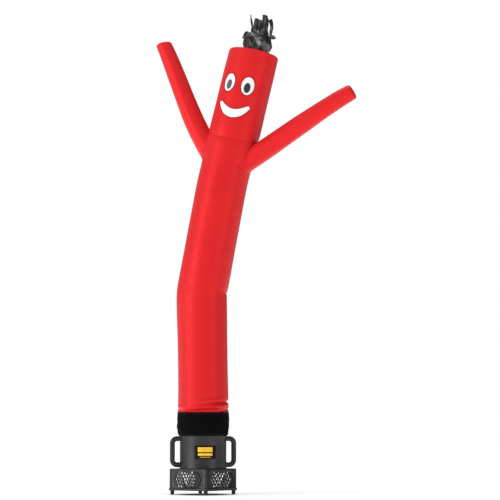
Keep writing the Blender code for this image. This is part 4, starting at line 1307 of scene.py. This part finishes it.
def make_feet(material):
    top = BASE_BOTTOM - 0.0002
    middle = 0.0001  # as near the foot's own axis as its faces go
    corners = [(middle, 0.0), (FOOT_RADIUS - 0.0012, 0.0), (FOOT_RADIUS - 0.0002, top * 0.45),
               (FOOT_RADIUS, top - 0.0030), (FOOT_RADIUS + 0.0004, top), (middle, top)]
    side = [point for point in rounded(corners, 0.0016, 4) if point[0] > 0.0012]
    profile = [(middle, 0.0)] + side + [(middle, top)]
    for number, name in enumerate(("right", "back", "left", "front")):
        angle = number * math.pi / 2
        at = (FOOT_AT * math.cos(angle), FOOT_AT * math.sin(angle))
        mesh = lathe("rubber_" + name, profile, 48, at)
        mend(mesh, 3 * middle, True)
        show("rubber_" + name, mesh, material, ["foot_" + name], 50)


def handle_line(steps):
    """(place, outwards) along the handle's middle line in the XZ plane, from its upper root."""
    x = HANDLE_REACH - HANDLE_THICK / 2
    high = HANDLE_TOP - HANDLE_THICK / 2
    low = HANDLE_BOTTOM + HANDLE_THICK / 2
    bend_at = x - HANDLE_BEND
    root = math.sqrt(BODY_RADIUS**2 - (HANDLE_DEEP / 2) ** 2) - 0.0025
    straight = [root + (bend_at - root) * share for share in np.linspace(0, 1, 6)[:-1]]
    line = [((place, high), (0, 1)) for place in straight]
    for height, start in ((high - HANDLE_BEND, 90), (low + HANDLE_BEND, 0)):
        for angle in np.radians(np.linspace(start, start - 90, steps)):
            out = (math.cos(angle), math.sin(angle))
            line.append(((bend_at + out[0] * HANDLE_BEND, height + out[1] * HANDLE_BEND), out))
    return line + [((place, low), (0, -1)) for place in reversed(straight)]


def squared(values):
    return np.sign(values) * np.abs(values) ** HANDLE_SQUARE


def make_handles(material):
    line = handle_line(12)
    angle = round_angles(40)
    across, deep = squared(np.cos(angle)), squared(np.sin(angle))
    rows = []
    for number, ((x, z), out) in enumerate(line):
        from_end = min(number, len(line) - 1 - number)
        flare = 1 + HANDLE_FLARES[min(from_end, len(HANDLE_FLARES) - 1)]
        # its upper root has no room to widen, under the cuff
        reach = across * HANDLE_THICK / 2 * (flare if number > from_end else 1.0)
        rows.append(np.column_stack([x + out[0] * reach, deep * HANDLE_DEEP / 2 * flare,
                                     z + out[1] * reach]))
    points = np.array(rows)
    under_cuff = np.hypot(points[..., 0], points[..., 1]) < LOW_FLANGE_RADIUS + 0.0042
    highest = np.where(under_cuff, BODY_TOP - 0.0012, HANDLE_TOP)
    points[..., 2] = np.minimum(points[..., 2], highest)
    for name, side in (("right", 1), ("left", -1)):
        mirrored = points * np.array([side, side, 1])
        mesh = grid("grip_" + name, mirrored + np.array(BLOWER_AT))
        mend(mesh, filled=True)
        show("grip_" + name, mesh, material, ["handle_" + name], 50)


def bent_plate(name, half_wide, half_high, up, lift, thickness, corner):
    """A thin plate bent to the housing, with rounded corners: a loop that closes inwards."""
    loop = []
    for (sx, sy), start in (((1, -1), -90), ((1, 1), 0), ((-1, 1), 90), ((-1, -1), 180)):
        for angle in np.radians(np.linspace(start, start + 90, 6)):
            loop.append((sx * (half_wide - corner) + corner * math.cos(angle),
                         sy * (half_high - corner) + corner * math.sin(angle)))
    dense = []
    for here, after in zip(loop, loop[1:] + loop[:1]):
        count = max(1, int(math.dist(here, after) / 0.003))
        dense += [partway(here, after, step / count) for step in range(count)]
    dense = np.array(dense)
    levels = [(1.0, 0.0), (1.0, thickness * 0.7), (0.994, thickness)]
    levels += [(share, thickness) for share in (0.8, 0.6, 0.4, 0.2, 0.001)]
    rows = []
    for share, rise in levels:
        x, y = dense[:, 0] * share, dense[:, 1] * share
        angle = x / BODY_RADIUS + PLATE_TURN
        radius = BODY_RADIUS + lift + rise
        rows.append(np.column_stack([radius * np.sin(angle), -radius * np.cos(angle), y + up]))
    return grid(name, np.array(rows) + np.array(BLOWER_AT))


def make_plate(black, amber):
    plate = bent_plate("front_badge", PLATE_SPAN / 2, PLATE_HEIGHT / 2, PLATE_AT, 0.0002,
                       PLATE_THICK, 0.0025)
    show("front_badge", plate, black, ["front_plate"], 50)
    made = bmesh.new()
    for bar in BARS:
        strip = bent_plate("bar", *bar["half"], PLATE_AT + bar["up"], 0.0011, 0.00035, 0.0009)
        made.from_mesh(strip)
        bpy.data.meshes.remove(strip)
    mesh = bpy.data.meshes.new("badge_bars")
    made.to_mesh(mesh)
    made.free()
    show("badge_bars", mesh, amber, (), 50)


# ---- Camera, light and floor ----
def set_camera():
    camera = add_object("camera", bpy.data.cameras.new("camera"))
    camera.location = CAMERA_AT
    camera.rotation_euler = CAMERA_TURN
    camera.data.lens = CAMERA_LENS
    camera.data.sensor_width = 36
    bpy.context.scene.camera = camera
    bpy.context.scene.view_settings.view_transform = "Standard"


def set_studio():
    world = bpy.data.worlds.new("studio")
    bpy.context.scene.world = world
    world.use_nodes = True
    tree = world.node_tree
    way = new_node(tree, "TexCoord", {}).outputs["Generated"]
    darker = new_node(tree, "VectorMath", {0: way, 1: DARK_WAY}, operation="DOT_PRODUCT")
    strength = map_range(tree, darker.outputs["Value"], (0.1, 0.8), (0.27, 0.05))
    sky = feed(tree, tree.nodes["Background"], {"Color": WHITE_LIGHT, "Strength": strength})
    seen = new_node(tree, "Background", {"Color": WHITE_LIGHT, "Strength": 1.0})
    direct = new_node(tree, "LightPath", {}).outputs["Is Camera Ray"]
    mix = new_node(tree, "MixShader", {0: direct, 1: sky.outputs[0], 2: seen.outputs[0]})
    feed(tree, tree.nodes["World Output"], {"Surface": mix.outputs[0]})
    for row in SOFTBOXES:
        light = bpy.data.lights.new(row["name"], "AREA")
        light.shape = "RECTANGLE"
        light.size, light.size_y = row["size"]
        light.energy = row["watts"]
        made = add_object(row["name"], light)
        made.location = row["at"]
        made.rotation_euler = (LIGHTS_AIM - made.location).to_track_quat("-Z", "Y").to_euler()


def set_floor():
    """A pale floor, lit from below as a studio table is, with a painted contact shadow close to
    the base.
    """
    reach = FLOOR_REACH
    mesh = bpy.data.meshes.new("floor")
    corners = [(-reach, -reach, 0), (reach, -reach, 0), (reach, reach, 0), (-reach, reach, 0)]
    mesh.from_pydata(corners, [], [(0, 1, 2, 3)])
    made, tree, shader = new_material("pale_floor", (0.93, 0.93, 0.93), 0.6)
    offset = new_node(tree, "VectorMath", {0: object_place(tree), 1: BLOWER_AT},
                      operation="SUBTRACT").outputs["Vector"]
    away = new_node(tree, "VectorMath", {0: offset}, operation="LENGTH").outputs["Value"]
    # painted contact shadow: the floor's glow is none within 0.10 of the base and rises out to
    # 0.19
    painted_shadow_glow = map_range(tree, away, (0.10, 0.19), (0.0, 0.52))
    far_glow = map_range(tree, away, (0.5, 6.0), (0.0, 0.32))
    feed(tree, shader, {
        # painted contact shadow: the floor's colour darkens to 0.30 within 0.10 of the base
        "Base Color": ramp(tree, away, (0.10, 0.30), (0.17, 0.93)),
        "Specular IOR Level": 0.2,
        "Emission Color": WHITE_LIGHT,
        "Emission Strength": maths(tree, "ADD", painted_shadow_glow, far_glow),
    })
    mesh.materials.append(made)
    add_object("floor", mesh)


# ---- Making it all ----
set_camera()
set_studio()
set_floor()
LOOK = make_materials()
RED, PLASTIC = LOOK["red_nylon"], LOOK["charcoal_plastic"]
make_torso(RED)
make_head(RED)
make_head_top(RED)
for sleeve in ARMS:
    make_arm(sleeve, RED)
stitch_the_tube(LOOK["red_thread"])
make_cuff(LOOK["black_cuff_cloth"], LOOK["black_thread"])
make_face(LOOK)
make_hair(LOOK["black_hair_cloth"])
make_housing(PLASTIC)
make_base(PLASTIC)
make_grilles(LOOK["charcoal_mesh_plastic"])
make_feet(LOOK["foot_rubber"])
make_handles(PLASTIC)
make_plate(LOOK["badge_black"], LOOK["badge_amber"])
